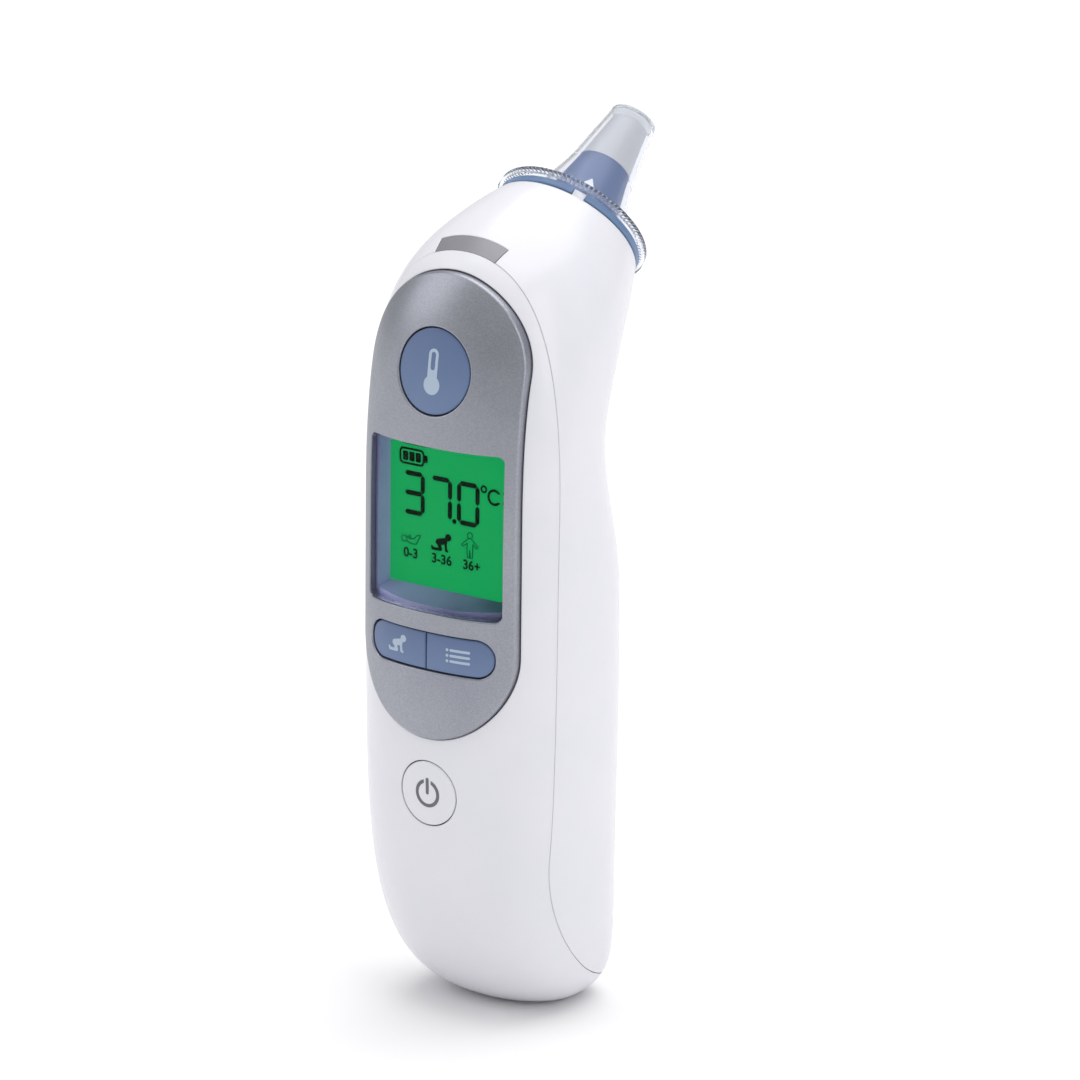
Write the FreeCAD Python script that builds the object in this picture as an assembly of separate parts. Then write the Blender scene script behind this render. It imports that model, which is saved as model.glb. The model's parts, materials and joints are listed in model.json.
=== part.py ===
"""Infrared ear thermometer: a hand-held body with a tilted measuring head, made as separate moulded
and assembled pieces. Millimetres. +Z runs up the handle, the control panel faces -Y, and X = 0 is the
plane of symmetry. The pieces are drawn with Y = 0 at the foremost point of the front cover, and moved
together at the end, so that the origin is under the middle of the whole object, at its lowest point."""
import FreeCAD
import Part
import math
import os

V = FreeCAD.Vector

# Housing: one row per cross-section, from the foot to the rim of the head.
# front Y, front Z, back Y, back Z, half width, fullness of the front half, fullness of the back half
SECTIONS = [
    (23.0, 0.0, 34.5, 0.0, 8.0, 2.10, 2.40),
    (15.6, 1.6, 36.4, 1.6, 13.6, 2.20, 2.70),
    (10.3, 6.0, 37.5, 6.0, 17.1, 2.30, 2.90),
    (5.7, 13.0, 37.3, 13.0, 19.3, 2.35, 2.80),
    (2.5, 22.0, 36.8, 22.0, 20.5, 2.35, 2.70),
    (0.7, 34.0, 36.4, 34.0, 21.3, 2.35, 2.60),
    (0.1, 48.0, 36.3, 48.0, 21.7, 2.35, 2.60),
    (0.0, 66.0, 36.1, 66.0, 21.9, 2.35, 2.60),
    (0.1, 84.0, 34.6, 84.0, 21.8, 2.35, 2.60),
    (0.4, 100.0, 31.0, 98.0, 21.5, 2.30, 2.50),
    (1.0, 113.0, 32.1, 105.0, 21.1, 2.25, 2.40),
    (2.6, 123.5, 35.4, 109.6, 20.5, 2.20, 2.30),
    (6.2, 132.0, 39.2, 113.9, 19.3, 2.15, 2.20),
    (13.4, 138.2, 42.7, 117.3, 17.5, 2.10, 2.10),
    (21.4, 141.8, 45.5, 120.2, 15.4, 2.05, 2.05),
    (29.66, 143.92, 47.14, 123.08, 13.6, 2.00, 2.00),
]
SECTION_POINTS = 24
WALL = 2.2
FLOOR = 2.4
SEAM = 0.12
CLEAR = 0.15
MID_Y = 30.18

# Head: the probe's axis leans back from the vertical and leaves the middle of the rim.
HEAD_LEAN = 50.0
RIM_Y, RIM_Z, RIM_R = 38.4, 133.5, 13.6
DECK = 2.0

# Front cover and rear housing part along this depth, then round under the foot.
PART_Y, PART_Z, PART_R = 9.5, 32.0, 28.5

# Battery door in the back
DOOR_Y, DOOR_LOW, DOOR_HIGH, DOOR_CORNER, DOOR_SKIN = 28.8, 28.0, 98.5, 4.0, 1.8
GRIP_LINES, GRIP_LOW, GRIP_STEP, GRIP_HALF, GRIP_WIDE, GRIP_DEEP = 4, 33.5, 2.2, 9.0, 0.9, 0.5

# Roundings of the visible edges
EASE, RIM_EASE, DOOR_EASE = 0.15, 0.5, 0.3
PANEL_EASE, HOLE_EASE, KEY_EASE, PANE_EASE = 0.7, 0.25, 0.3, 0.15

# Control panel: a raised stadium let into the front cover
PANEL_HALF, PANEL_LOW, PANEL_HIGH = 16.0, 68.3, 116.6
PANEL_PROUD, PANEL_SEAT = 0.8, 1.0
WINDOW_HALF, WINDOW_LOW, WINDOW_HIGH, WINDOW_CORNER = 13.9, 74.7, 103.5, 1.2
LCD_Y, LCD_HALF, LCD_LOW, LCD_HIGH = 6.3, 12.6, 77.0, 102.7
PANE_LOW, KEY_PROUD = 0.1, 0.5
START_R, START_Z = 7.3, 116.4
PILL_HALF, PILL_LOW, PILL_HIGH = 12.8, 64.7, 71.2
POWER_R, POWER_Z = 5.7, 42.3
SWITCH_X = 6.4
BUTTON_GAP = 0.2
FLANGE = 1.1

# Electronics
BOARD_Y, BOARD_T = 12.0, 1.2
SWITCH_SIDE, SWITCH_TALL, PLUNGER_R, PLUNGER_TOP = 6.0, 3.5, 1.7, 7.4
BOARD_SCREWS = [(-11.2, 107.5), (11.2, 107.5), (0.0, 56.0)]
CASE_SCREWS = [(-9.0, 30.4), (9.0, 30.4)]
CASE_DECK = 22.0

# Power
CELL_R, CELL_LONG, CELL_X, CELL_Y, CELL_LOW = 7.25, 50.5, 7.4, 22.8, 37.8
TRAY_LOW, TRAY_HIGH, TRAY_HALF, TRAY_FLOOR, TRAY_T = 34.2, 90.4, 16.0, 14.6, 1.1

# Ejector, probe and filter, measured along the probe's axis from the rim
COLLAR_R, COLLAR_BASE, COLLAR_TOP = 13.5, 0.2, 1.5
NECK_IN, NECK_OUT, NECK_DEEP, LIP_R = 8.8, 9.7, -8.0, 11.2
SPRING_R, SPRING_WIRE, SPRING_TURNS, WIRE_SIDES = 10.5, 0.25, 4, 8
DETECTOR_TURN, DETECTOR_WIDE, DETECTOR_IN, DETECTOR_OUT = 34.0, 2.2, 11.4, 13.0
FILTER_R, FILTER_SKIN, FILTER_LOW, FILTER_FACE = 14.2, 0.5, 1.7, 2.9
PROBE_STEP, PROBE_TIP = 14.4, 24.2


# ---------------------------------------------------------------- shapes used more than once
def section(front_y, front_z, back_y, back_z, half, front_full, back_full, inset):
    """A closed curve round the body: a rounded oval between its front and back points."""
    long = math.hypot(back_y - front_y, back_z - front_z)
    reach = long / 2 - inset
    along = V(0, (back_y - front_y) / long, (back_z - front_z) / long)
    middle = V(0, (front_y + back_y) / 2, (front_z + back_z) / 2)
    points = []
    for k in range(SECTION_POINTS):
        turn = math.pi + 2 * math.pi * k / SECTION_POINTS
        c, s = math.cos(turn), math.sin(turn)
        power = 2 / (front_full if c > 0 else back_full)
        x = math.copysign(abs(s) ** power, s) * (half - inset)
        d = -math.copysign(abs(c) ** power, c) * reach
        points.append(middle + along * d + V(x, 0, 0))
    curve = Part.BSplineCurve()
    curve.interpolate(Points=points, PeriodicFlag=True)
    return Part.Wire([curve.toShape()])


def body(inset=0.0):
    """The housing's outer form, drawn in from its surface by inset."""
    if inset not in body.made:
        rings = [section(*row, inset) for row in SECTIONS]
        body.made[inset] = Part.makeLoft(rings, True, False, False, 5)
    return body.made[inset]


body.made = {}


def skin(outer, inner):
    return body(outer).cut(body(inner))


def eased(shape, inset, radius, chosen=lambda edge: True):
    """Rounds the edges of a piece that lie on the body's surface drawn in by inset."""
    surface = max(body(inset).Faces, key=lambda face: face.Area)
    edges = []
    for edge in shape.Edges:
        first, last = edge.ParameterRange
        spots = [edge.valueAt(first + (last - first) * part) for part in (0.1, 0.5, 0.9)]
        near = [surface.distToShape(Part.Vertex(spot))[0] < 0.02 for spot in spots]
        if all(near) and chosen(edge):
            edges.append(edge)
    return shape.makeFillet(radius, edges)


def block(x0, x1, y0, y1, z0, z1):
    return Part.makeBox(x1 - x0, y1 - y0, z1 - z0, V(x0, y0, z0))


def rod(radius, y0, y1, x, z):
    return Part.makeCylinder(radius, y1 - y0, V(x, y0, z), V(0, 1, 0))


def slab(half, low, high, corner, y0, y1):
    """A rounded rectangle seen from the front, from depth y0 to depth y1."""
    plate = block(-half, half, y0, y1, low, high)
    upright = [e for e in plate.Edges if abs(e.tangentAt(e.FirstParameter).y) > 0.9]
    return plate.makeFillet(corner, upright)


def stadium(half, low, high, y0, y1):
    ends = rod(half, y0, y1, 0, low).fuse(rod(half, y0, y1, 0, high))
    return ends.fuse(block(-half, half, y0, y1, low, high))


def turned(profile):
    """A piece turned about the probe's axis: profile holds radius and height over the rim."""
    points = [V(r, 0, h) for r, h in profile]
    face = Part.Face(Part.makePolygon(points + points[:1]))
    return face.revolve(V(0, 0, 0), V(0, 0, 1), 360)


def rounded(shape, radius, rims):
    """Rounds the circular edges that lie at the given radius and height pairs."""
    edges = []
    for edge in shape.Edges:
        if isinstance(edge.Curve, Part.Circle):
            for r, h in rims:
                if abs(edge.Curve.Radius - r) < 0.01 and abs(edge.Curve.Center.z - h) < 0.01:
                    edges.append(edge)
    return shape.makeFillet(radius, edges)


def on_head(shape):
    """Moves a piece drawn about +Z to the head, where +Z becomes the probe's axis."""
    seat = FreeCAD.Placement(V(0, RIM_Y, RIM_Z), FreeCAD.Rotation(V(1, 0, 0), -HEAD_LEAN))
    moved = shape.copy()
    moved.Placement = seat.multiply(moved.Placement)
    return moved


def spiral(radius, wire, low, high, turns):
    """A coil of wire with eight flats about +Z, from height low to height high."""
    rise = high - low - 2 * wire
    helix = Part.Wire(Part.makeHelix(rise / turns, rise, radius).Edges)
    helix.translate(V(0, 0, low + wire))
    start = helix.Edges[0].valueAt(helix.Edges[0].FirstParameter)
    corners = [2 * math.pi * k / WIRE_SIDES for k in range(WIRE_SIDES + 1)]
    ring = Part.makePolygon([start + V(math.cos(a), 0, math.sin(a)) * wire for a in corners])
    return helix.makePipeShell([ring], True, True)


def front_zone(gap=0.0):
    """The space in front of the parting surface, which turns back under the foot."""
    y, r = PART_Y + gap, PART_R - gap
    centre = V(0, PART_Y + PART_R, PART_Z)
    foot = V(0, centre.y, PART_Z - r)
    bend = centre + V(0, -r, -r) * math.sqrt(0.5)
    far = 30.0
    low, high = -far, RIM_Z + far
    wire = Part.Wire([
        Part.makeLine(V(0, y, high), V(0, y, PART_Z)),
        Part.Arc(V(0, y, PART_Z), bend, foot).toShape(),
        Part.makeLine(foot, V(0, centre.y + far, foot.z)),
        Part.makeLine(V(0, centre.y + far, foot.z), V(0, centre.y + far, low)),
        Part.makeLine(V(0, centre.y + far, low), V(0, -far, low)),
        Part.makeLine(V(0, -far, low), V(0, -far, high)),
        Part.makeLine(V(0, -far, high), V(0, y, high)),
    ])
    wire.translate(V(-far, 0, 0))
    return Part.Face(wire).extrude(V(2 * far, 0, 0))


def door_zone(grow=0.0):
    """The space of the battery door, widened all round by grow."""
    far = 30.0
    zone = block(-far, far, DOOR_Y - grow, DOOR_Y + far, DOOR_LOW - grow, DOOR_HIGH + grow)
    inner = [e for e in zone.Edges
             if abs(e.tangentAt(e.FirstParameter).x) > 0.9 and e.CenterOfMass.y < DOOR_Y + 5]
    return zone.makeFillet(DOOR_CORNER, inner)


def shell():
    """The hollow housing, with a closed deck across the rim of the head."""
    hollow = body(WALL).cut(block(-40, 40, -10, 60, -10, FLOOR))
    deck = on_head(Part.makeCylinder(2 * RIM_R, 2 * DECK, V(0, 0, -DECK)))
    return body().cut(hollow.cut(deck))


# ---------------------------------------------------------------- housing
def front_housing():
    cover = shell().common(front_zone())
    for x, z in BOARD_SCREWS:
        cover = cover.fuse(rod(2.0, -1, BOARD_Y - 0.05, x, z).common(body(1.3)))
    for x, z in CASE_SCREWS:
        cover = cover.fuse(rod(2.8, -1, CASE_DECK - 0.05, x, z).common(body(1.3)))
    seat = stadium(PANEL_HALF + CLEAR, PANEL_LOW, PANEL_HIGH, -5, 20)
    cover = cover.cut(seat.cut(body(PANEL_SEAT)))
    cover = cover.cut(slab(14.85, 73.75, 104.45, 1.0, -5, 7))
    cover = cover.cut(block(-15.4, 15.4, LCD_Y - 0.3, BOARD_Y + 1, 74.2, 105.5))
    cover = cover.cut(rod(START_R + BUTTON_GAP, -5, 11, 0, START_Z))
    pill = PILL_HALF + BUTTON_GAP
    cover = cover.cut(slab(pill, PILL_LOW - BUTTON_GAP, PILL_HIGH + BUTTON_GAP, 3.2, -5, 8))
    cover = cover.cut(rod(POWER_R + BUTTON_GAP, -5, 11, 0, POWER_Z))
    for x, z in BOARD_SCREWS:
        cover = cover.cut(rod(1.0, 5.5, BOARD_Y + 1, x, z))
    for x, z in CASE_SCREWS:
        cover = cover.cut(rod(1.45, 10.5, CASE_DECK + 1, x, z))
    return eased(cover, 0.0, EASE, lambda e: e.CenterOfMass.z > PART_Z and e.CenterOfMass.y < PART_Y - 1)


def rear_housing():
    case = shell().cut(front_zone(SEAM))
    case = case.cut(door_zone(CLEAR))
    lip = skin(DOOR_SKIN + 0.1, 2.8).common(door_zone(1.6)).cut(door_zone(-1.5))
    case = case.fuse(lip)
    deck = block(-30, 30, CASE_DECK, CASE_DECK + 2, 26.8, 33.8).common(body(WALL - 0.6))
    case = case.fuse(deck)
    for x, z in CASE_SCREWS:
        case = case.cut(rod(1.6, CASE_DECK - 1, CASE_DECK + 3, x, z))
    case = case.cut(pipe_zone(CLEAR / 2))
    mouth = Part.makeCylinder(NECK_OUT + 0.3, 3 * DECK, V(0, 0, -2 * DECK))
    case = case.cut(on_head(mouth)).cut(detector_pocket())
    case = eased(case, 0.0, RIM_EASE, on_rim)
    return eased(case, 0.0, EASE, lambda e: e.CenterOfMass.y < DOOR_Y + 9 and not on_rim(e))


def battery_door():
    door = skin(0.0, DOOR_SKIN).common(door_zone())
    door = eased(door, 0.0, DOOR_EASE)
    for k in range(GRIP_LINES):
        z = GRIP_LOW + GRIP_STEP * k
        groove = block(-GRIP_HALF, GRIP_HALF, DOOR_Y + 3, 60, z, z + GRIP_WIDE).cut(body(GRIP_DEEP))
        door = door.cut(groove)
    return door


def pipe_zone(grow=0.0):
    """The space of the light strip on the brow of the head."""
    low, high, near, far = 125.0, 150.0, PART_Y + SEAM - grow, 12.4 + grow
    corners = [V(-6.2 - grow, near, low), V(6.2 + grow, near, low),
               V(6.9 + grow, far, low), V(-6.9 - grow, far, low)]
    return Part.Face(Part.makePolygon(corners + corners[:1])).extrude(V(0, 0, high - low))


def on_rim(edge):
    """Whether an edge lies in the plane of the head's rim."""
    lean = math.radians(HEAD_LEAN)
    spot = edge.valueAt(edge.FirstParameter) - V(0, RIM_Y, RIM_Z)
    return abs(spot.y * math.sin(lean) + spot.z * math.cos(lean)) < 0.05


def light_pipe():
    return skin(0.05, WALL - 0.1).common(pipe_zone())


# ---------------------------------------------------------------- control panel and buttons
def on_panel_rim(edge):
    """Whether an edge runs round the outside of the stadium."""
    spot = edge.valueAt(sum(edge.ParameterRange) / 2)
    nearest = min(max(spot.z, PANEL_LOW), PANEL_HIGH)
    return math.hypot(spot.x, spot.z - nearest) > PANEL_HALF - 0.6


def control_panel():
    plate = skin(-PANEL_PROUD, PANEL_SEAT - 0.05)
    plate = plate.common(stadium(PANEL_HALF, PANEL_LOW, PANEL_HIGH, -5, 14))
    plate = plate.cut(slab(WINDOW_HALF, WINDOW_LOW, WINDOW_HIGH, WINDOW_CORNER, -5, 14))
    plate = plate.cut(rod(START_R + BUTTON_GAP, -5, 14, 0, START_Z))
    pill = PILL_HALF + BUTTON_GAP
    plate = plate.cut(slab(pill, PILL_LOW - BUTTON_GAP, PILL_HIGH + BUTTON_GAP, 3.2, -5, 14))
    outside = eased(plate, -PANEL_PROUD, PANEL_EASE, on_panel_rim)
    return eased(outside, -PANEL_PROUD, HOLE_EASE, lambda e: not on_panel_rim(e))


def display_window():
    edge = 0.06
    pane = slab(WINDOW_HALF - edge, WINDOW_LOW + edge, WINDOW_HIGH - edge, WINDOW_CORNER, -5, 14)
    pane = skin(PANE_LOW - PANEL_PROUD, PANEL_SEAT - 0.05).common(pane)
    return eased(pane, PANE_LOW - PANEL_PROUD, PANE_EASE)


def display_frame():
    """A tapered well between the window and the liquid crystal glass."""
    well = slab(14.7, 73.9, 104.3, 0.8, -5, LCD_Y - 0.05).common(body(PANEL_SEAT + 0.05))
    mouth_half, mouth_low, mouth_high = 13.7, 74.9, 103.3

    def outline(half, low, high, y):
        corners = [V(-half, y, low), V(half, y, low), V(half, y, high), V(-half, y, high)]
        return Part.makePolygon(corners + corners[:1])

    mouth = outline(mouth_half, mouth_low, mouth_high, -1.0)
    back = outline(LCD_HALF, LCD_LOW, LCD_HIGH, LCD_Y + 0.2)
    return well.cut(Part.makeLoft([mouth, back], True, True))


def button(cap, flange, x, z, proud=KEY_PROUD):
    """A cap in its opening, a flange behind the wall that stops it, and a stem to its switch."""
    top = eased(cap.common(skin(-proud, WALL + 0.9)), -proud, KEY_EASE)
    stop = flange.common(skin(WALL + 0.3, WALL + 1.0))
    stem = rod(2.0, 0, PLUNGER_TOP, x, z).common(body(WALL))
    return top.fuse([stop, stem])


def round_cap(radius, z):
    """A round key's cap, welded from two halves, so that its rounded edge is two arcs."""
    cap = rod(radius, -5, 9, 0, z)
    half = block(0, 2 * radius, -6, 10, z - 2 * radius, z + 2 * radius)
    return cap.common(half).fuse(cap.cut(half))


def start_button():
    flange = rod(START_R + FLANGE, -5, 9, 0, START_Z)
    return button(round_cap(START_R, START_Z), flange, 0, START_Z)


def power_button():
    flange = rod(POWER_R + FLANGE, -5, 9, 0, POWER_Z)
    return button(round_cap(POWER_R, POWER_Z), flange, 0, POWER_Z, 0.0)


def pill_button(side):
    """One half of the pill below the display: side is -1 for the left half, 1 for the right."""
    split = BUTTON_GAP / 2
    half = block(min(side * split, side * 40), max(side * split, side * 40), -5, 9, 50, 90)
    cap = slab(PILL_HALF, PILL_LOW, PILL_HIGH, 3.1, -5, 9).common(half)
    wide = slab(PILL_HALF + FLANGE, PILL_LOW - FLANGE, PILL_HIGH + FLANGE, 3.1, -5, 9)
    return button(cap, wide.common(half), side * SWITCH_X, (PILL_LOW + PILL_HIGH) / 2)


# ---------------------------------------------------------------- electronics
def switch_places():
    middle = (PILL_LOW + PILL_HIGH) / 2
    return {"start": (0, START_Z), "age": (-SWITCH_X, middle),
            "memory": (SWITCH_X, middle), "power": (0, POWER_Z)}


def switch_bodies():
    half = SWITCH_SIDE / 2
    cans = []
    for x, z in switch_places().values():
        can = block(x - half, x + half, BOARD_Y - SWITCH_TALL, BOARD_Y, z - half, z + half)
        cans.append(can.cut(rod(PLUNGER_R + 0.06, 0, BOARD_Y - 0.4, x, z)))
    return Part.makeCompound(cans)


def switch_plunger(x, z):
    return rod(PLUNGER_R, PLUNGER_TOP, BOARD_Y - 1.3, x, z)


def main_board():
    board = slab(14.5, 36.6, 126.0, 2.0, BOARD_Y, BOARD_Y + BOARD_T)
    for x, z in BOARD_SCREWS:
        board = board.cut(rod(1.2, BOARD_Y - 1, BOARD_Y + 3, x, z))
    return board


def lcd_glass():
    return block(-14.0, 14.0, LCD_Y, LCD_Y + 1.7, 75.6, 104.1)


def backlight_guide():
    return block(-14.0, 14.0, LCD_Y + 1.8, LCD_Y + 4.3, 75.6, 101.9)


def lcd_holder():
    outside = block(-15.2, 15.2, LCD_Y, BOARD_Y - 0.1, 74.4, 105.3)
    return outside.cut(block(-14.1, 14.1, 0, BOARD_Y + 1, 75.5, 104.2))


def zebra_strip():
    return block(-13.0, 13.0, LCD_Y + 1.75, BOARD_Y - 0.05, 102.2, 104.0)


def backlight_leds():
    chips = [block(x - 1.0, x + 1.0, LCD_Y + 4.4, BOARD_Y, 88.4, 90.0) for x in (-6.5, 6.5)]
    return Part.makeCompound(chips)


def signal_leds():
    leds = [block(x - 1.0, x + 1.0, BOARD_Y - 1.2, BOARD_Y, 123.6, 125.2) for x in (-5.0, 0.0, 5.0)]
    return Part.makeCompound(leds)


def controller_chips():
    back = BOARD_Y + BOARD_T
    processor = block(2.0, 10.0, back, back + 1.4, 97.0, 105.0)
    amplifier = block(-9.5, -4.5, back, back + 1.2, 112.0, 116.0)
    memory = block(5.0, 9.0, back, back + 1.2, 111.0, 116.0)
    return Part.makeCompound([processor, amplifier, memory])


def buzzer():
    back = BOARD_Y + BOARD_T
    can = rod(5.6, back, back + 2.6, -6.6, 101.0)
    return can.cut(rod(0.9, back + 1.0, back + 3.0, -6.6, 101.0))


def flex_connector():
    back = BOARD_Y + BOARD_T
    return block(-3.2, 3.2, back, back + 1.6, 118.0, 121.5)


def screw(head_r, head_t, shank_r, head_y, tip_y, x, z):
    """A pan-head screw driven towards the front, with a cross recess."""
    head = rod(head_r, head_y, head_y + head_t, x, z)
    deep = head_t * 0.6
    slot = block(x - head_r * 0.6, x + head_r * 0.6, head_y + head_t - deep, head_y + head_t + 1,
                 z - 0.3, z + 0.3)
    cross = block(x - 0.3, x + 0.3, head_y + head_t - deep, head_y + head_t + 1,
                  z - head_r * 0.6, z + head_r * 0.6)
    point = Part.makeCone(0.3, shank_r, 1.2, V(x, tip_y, z), V(0, 1, 0))
    shank = rod(shank_r, tip_y + 1.2, head_y, x, z)
    return head.cut(slot.fuse(cross)).fuse([shank, point])


def board_screws():
    head_y = BOARD_Y + BOARD_T + 0.02
    return Part.makeCompound([screw(1.9, 1.2, 0.95, head_y, 6.5, x, z) for x, z in BOARD_SCREWS])


def housing_screws():
    head_y = CASE_DECK + 2.02
    return Part.makeCompound([screw(2.6, 1.7, 1.4, head_y, 12.0, x, z) for x, z in CASE_SCREWS])


# ---------------------------------------------------------------- power
def battery_tray():
    walls_to = DOOR_Y - 1.9
    tray = block(-TRAY_HALF, TRAY_HALF, TRAY_FLOOR, walls_to, TRAY_LOW, TRAY_HIGH)
    room = block(-TRAY_HALF + TRAY_T, TRAY_HALF - TRAY_T, TRAY_FLOOR + TRAY_T - 0.3, walls_to + 1,
                 TRAY_LOW + TRAY_T, TRAY_HIGH - TRAY_T)
    rib = block(-0.4, 0.4, TRAY_FLOOR, TRAY_FLOOR + 3.0, TRAY_LOW, TRAY_HIGH)
    tray = tray.cut(room).fuse(rib).cut(rod(2.6, 0, TRAY_FLOOR + 4, 0, 56.0))
    return tray.common(body(WALL + 0.4))


def cell(x, nub_up):
    """An AA cell with its nub."""
    nub, low = 1.4, CELL_LOW
    base = low if nub_up else low + nub
    can = Part.makeCylinder(CELL_R, CELL_LONG - nub, V(x, CELL_Y, base))
    can = can.makeFillet(0.6, [e for e in can.Edges if isinstance(e.Curve, Part.Circle)])
    tip = Part.makeCylinder(2.7, nub + 0.5, V(x, CELL_Y, low + CELL_LONG - nub - 0.5 if nub_up else low))
    return can.fuse(tip)


def contact_springs():
    coils = []
    for x in (-CELL_X, CELL_X):
        coil = spiral(3.6, 0.3, TRAY_LOW + TRAY_T, CELL_LOW, 3)
        coil.translate(V(x, CELL_Y, 0))
        coils.append(coil)
    return Part.makeCompound(coils)


def contact_plates():
    top = TRAY_HIGH - TRAY_T
    plates = [block(x - 4.5, x + 4.5, CELL_Y - 5, CELL_Y + 4, CELL_LOW + CELL_LONG, top)
              for x in (-CELL_X, CELL_X)]
    return Part.makeCompound(plates)


# ---------------------------------------------------------------- head
def head_box(x0, x1, y0, y1, z0, z1):
    """A block on the head, turned round the probe's axis to the detector's place."""
    turned_block = block(x0, x1, y0, y1, z0, z1)
    turned_block.rotate(V(0, 0, 0), V(0, 0, 1), DETECTOR_TURN)
    return turned_block


def detector_pocket():
    half = DETECTOR_WIDE / 2 + CLEAR
    return on_head(head_box(-half, half, -DETECTOR_OUT - CLEAR, -DETECTOR_IN + CLEAR, -5.6, 3))


def filter_detector():
    half = DETECTOR_WIDE / 2
    pin = head_box(-half, half, -DETECTOR_OUT, -DETECTOR_IN, -4.6, COLLAR_TOP - 0.05)
    return on_head(pin)


def ejector_collar():
    collar = turned([(NECK_IN, NECK_DEEP), (LIP_R, NECK_DEEP), (LIP_R, NECK_DEEP + 0.8),
                     (NECK_OUT, NECK_DEEP + 0.8), (NECK_OUT, COLLAR_BASE), (COLLAR_R, COLLAR_BASE),
                     (COLLAR_R, COLLAR_TOP), (NECK_IN, COLLAR_TOP)])
    collar = rounded(collar, 0.25, [(COLLAR_R, COLLAR_BASE), (COLLAR_R, COLLAR_TOP)])
    half = DETECTOR_WIDE / 2 + CLEAR
    notch = head_box(-half, half, -DETECTOR_OUT - 2, -DETECTOR_IN + CLEAR, COLLAR_BASE - 1, 3)
    return on_head(collar.cut(notch))


def ejector_spring():
    return on_head(spiral(SPRING_R, SPRING_WIRE, NECK_DEEP + 0.85, -DECK - 0.05, SPRING_TURNS))


def probe_holder():
    """A cup that stands on a web across the head and carries the probe."""
    web = turned([(5.6, -11.0), (20.0, -11.0), (20.0, -9.6), (7.6, -9.6), (7.6, 0.25), (5.6, 0.25)])
    return on_head(web).common(body(WALL + 0.05))


def probe_cone():
    cone = turned([(3.5, -8.0), (5.5, -8.0), (5.5, 0.3), (7.9, 0.3), (7.9, 1.2), (6.9, 3.2),
                   (4.8, PROBE_STEP), (3.5, PROBE_STEP)])
    return on_head(rounded(cone, 0.3, [(7.9, 1.2)]))


def probe_tip():
    low = PROBE_STEP + 0.05
    tip = turned([(2.75, low), (4.8, low), (3.4, PROBE_TIP), (2.0, PROBE_TIP), (2.0, 23.6),
                  (2.75, 23.6)])
    return on_head(rounded(tip, 0.5, [(3.4, PROBE_TIP)]))


def sensor_window():
    return on_head(Part.makeCylinder(2.65, 0.5, V(0, 0, 23.05)))


def sensor_can():
    can = Part.makeCylinder(2.05, 3.6, V(0, 0, 19.4))
    rim = Part.makeCylinder(2.2, 0.4, V(0, 0, 19.0))
    return on_head(can.fuse(rim))


def sensor_sleeve():
    sleeve = turned([(2.25, 6.0), (2.65, 6.0), (2.65, 23.0), (2.25, 23.0)])
    return on_head(sleeve)


def sensor_flex():
    """A flat tail from the sensor down the probe and over to its connector on the board."""
    lean = math.radians(HEAD_LEAN)
    top = V(0, RIM_Y, RIM_Z) + V(0, math.sin(lean), math.cos(lean)) * 18.8
    turn = V(0, RIM_Y, RIM_Z) - V(0, math.sin(lean), math.cos(lean)) * 13.0
    route = [top, turn, V(0, 19.5, 119.7), V(0, BOARD_Y + BOARD_T + 1.78, 119.7)]
    thick, half = 0.15, 2.0
    strips = []
    for a, b in zip(route, route[1:]):
        run = (b - a).normalize()
        side = V(0, -run.z, run.y) * thick
        tail = run * thick
        corners = [a - side - tail, b - side + tail, b + side + tail, a + side - tail]
        face = Part.Face(Part.makePolygon(corners + corners[:1]))
        face.translate(V(-half, 0, 0))
        strips.append(face.extrude(V(2 * half, 0, 0)))
    return strips[0].fuse(strips[1:])


def lens_filter():
    """A clear cap: a flat flange with a short skirt, and a thin cone over the probe."""
    r, t = FILTER_R, FILTER_SKIN
    low, face = FILTER_LOW, FILTER_FACE
    cap = turned([(r - t, low), (r, low), (r, face), (9.2, face), (6.2, 13.0), (4.2, 25.6),
                  (3.75, 25.6), (5.7, 13.0), (8.6, face - t), (r - t, face - t)])
    return on_head(rounded(cap, 0.22, [(r, face)]))


def filter_film():
    return on_head(Part.makeCylinder(3.7, 0.2, V(0, 0, 25.2)))


# ---------------------------------------------------------------- assembly
def build():
    pieces = {
        "front_housing": front_housing(),
        "rear_housing": rear_housing(),
        "battery_door": battery_door(),
        "light_pipe": light_pipe(),
        "control_panel": control_panel(),
        "display_window": display_window(),
        "display_frame": display_frame(),
        "start_button": start_button(),
        "age_button": pill_button(-1),
        "memory_button": pill_button(1),
        "power_button": power_button(),
        "main_board": main_board(),
        "switch_bodies": switch_bodies(),
        "lcd_glass": lcd_glass(),
        "backlight_guide": backlight_guide(),
        "backlight_leds": backlight_leds(),
        "lcd_holder": lcd_holder(),
        "zebra_strip": zebra_strip(),
        "signal_leds": signal_leds(),
        "controller_chips": controller_chips(),
        "buzzer": buzzer(),
        "flex_connector": flex_connector(),
        "board_screws": board_screws(),
        "housing_screws": housing_screws(),
        "battery_tray": battery_tray(),
        "battery_left": cell(-CELL_X, True),
        "battery_right": cell(CELL_X, False),
        "contact_springs": contact_springs(),
        "contact_plates": contact_plates(),
        "ejector_collar": ejector_collar(),
        "ejector_spring": ejector_spring(),
        "filter_detector": filter_detector(),
        "probe_holder": probe_holder(),
        "probe_cone": probe_cone(),
        "probe_tip": probe_tip(),
        "sensor_window": sensor_window(),
        "sensor_can": sensor_can(),
        "sensor_sleeve": sensor_sleeve(),
        "sensor_flex": sensor_flex(),
        "lens_filter": lens_filter(),
        "filter_film": filter_film(),
    }
    for name, (x, z) in switch_places().items():
        pieces[name + "_switch_plunger"] = switch_plunger(x, z)
    return pieces


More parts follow.
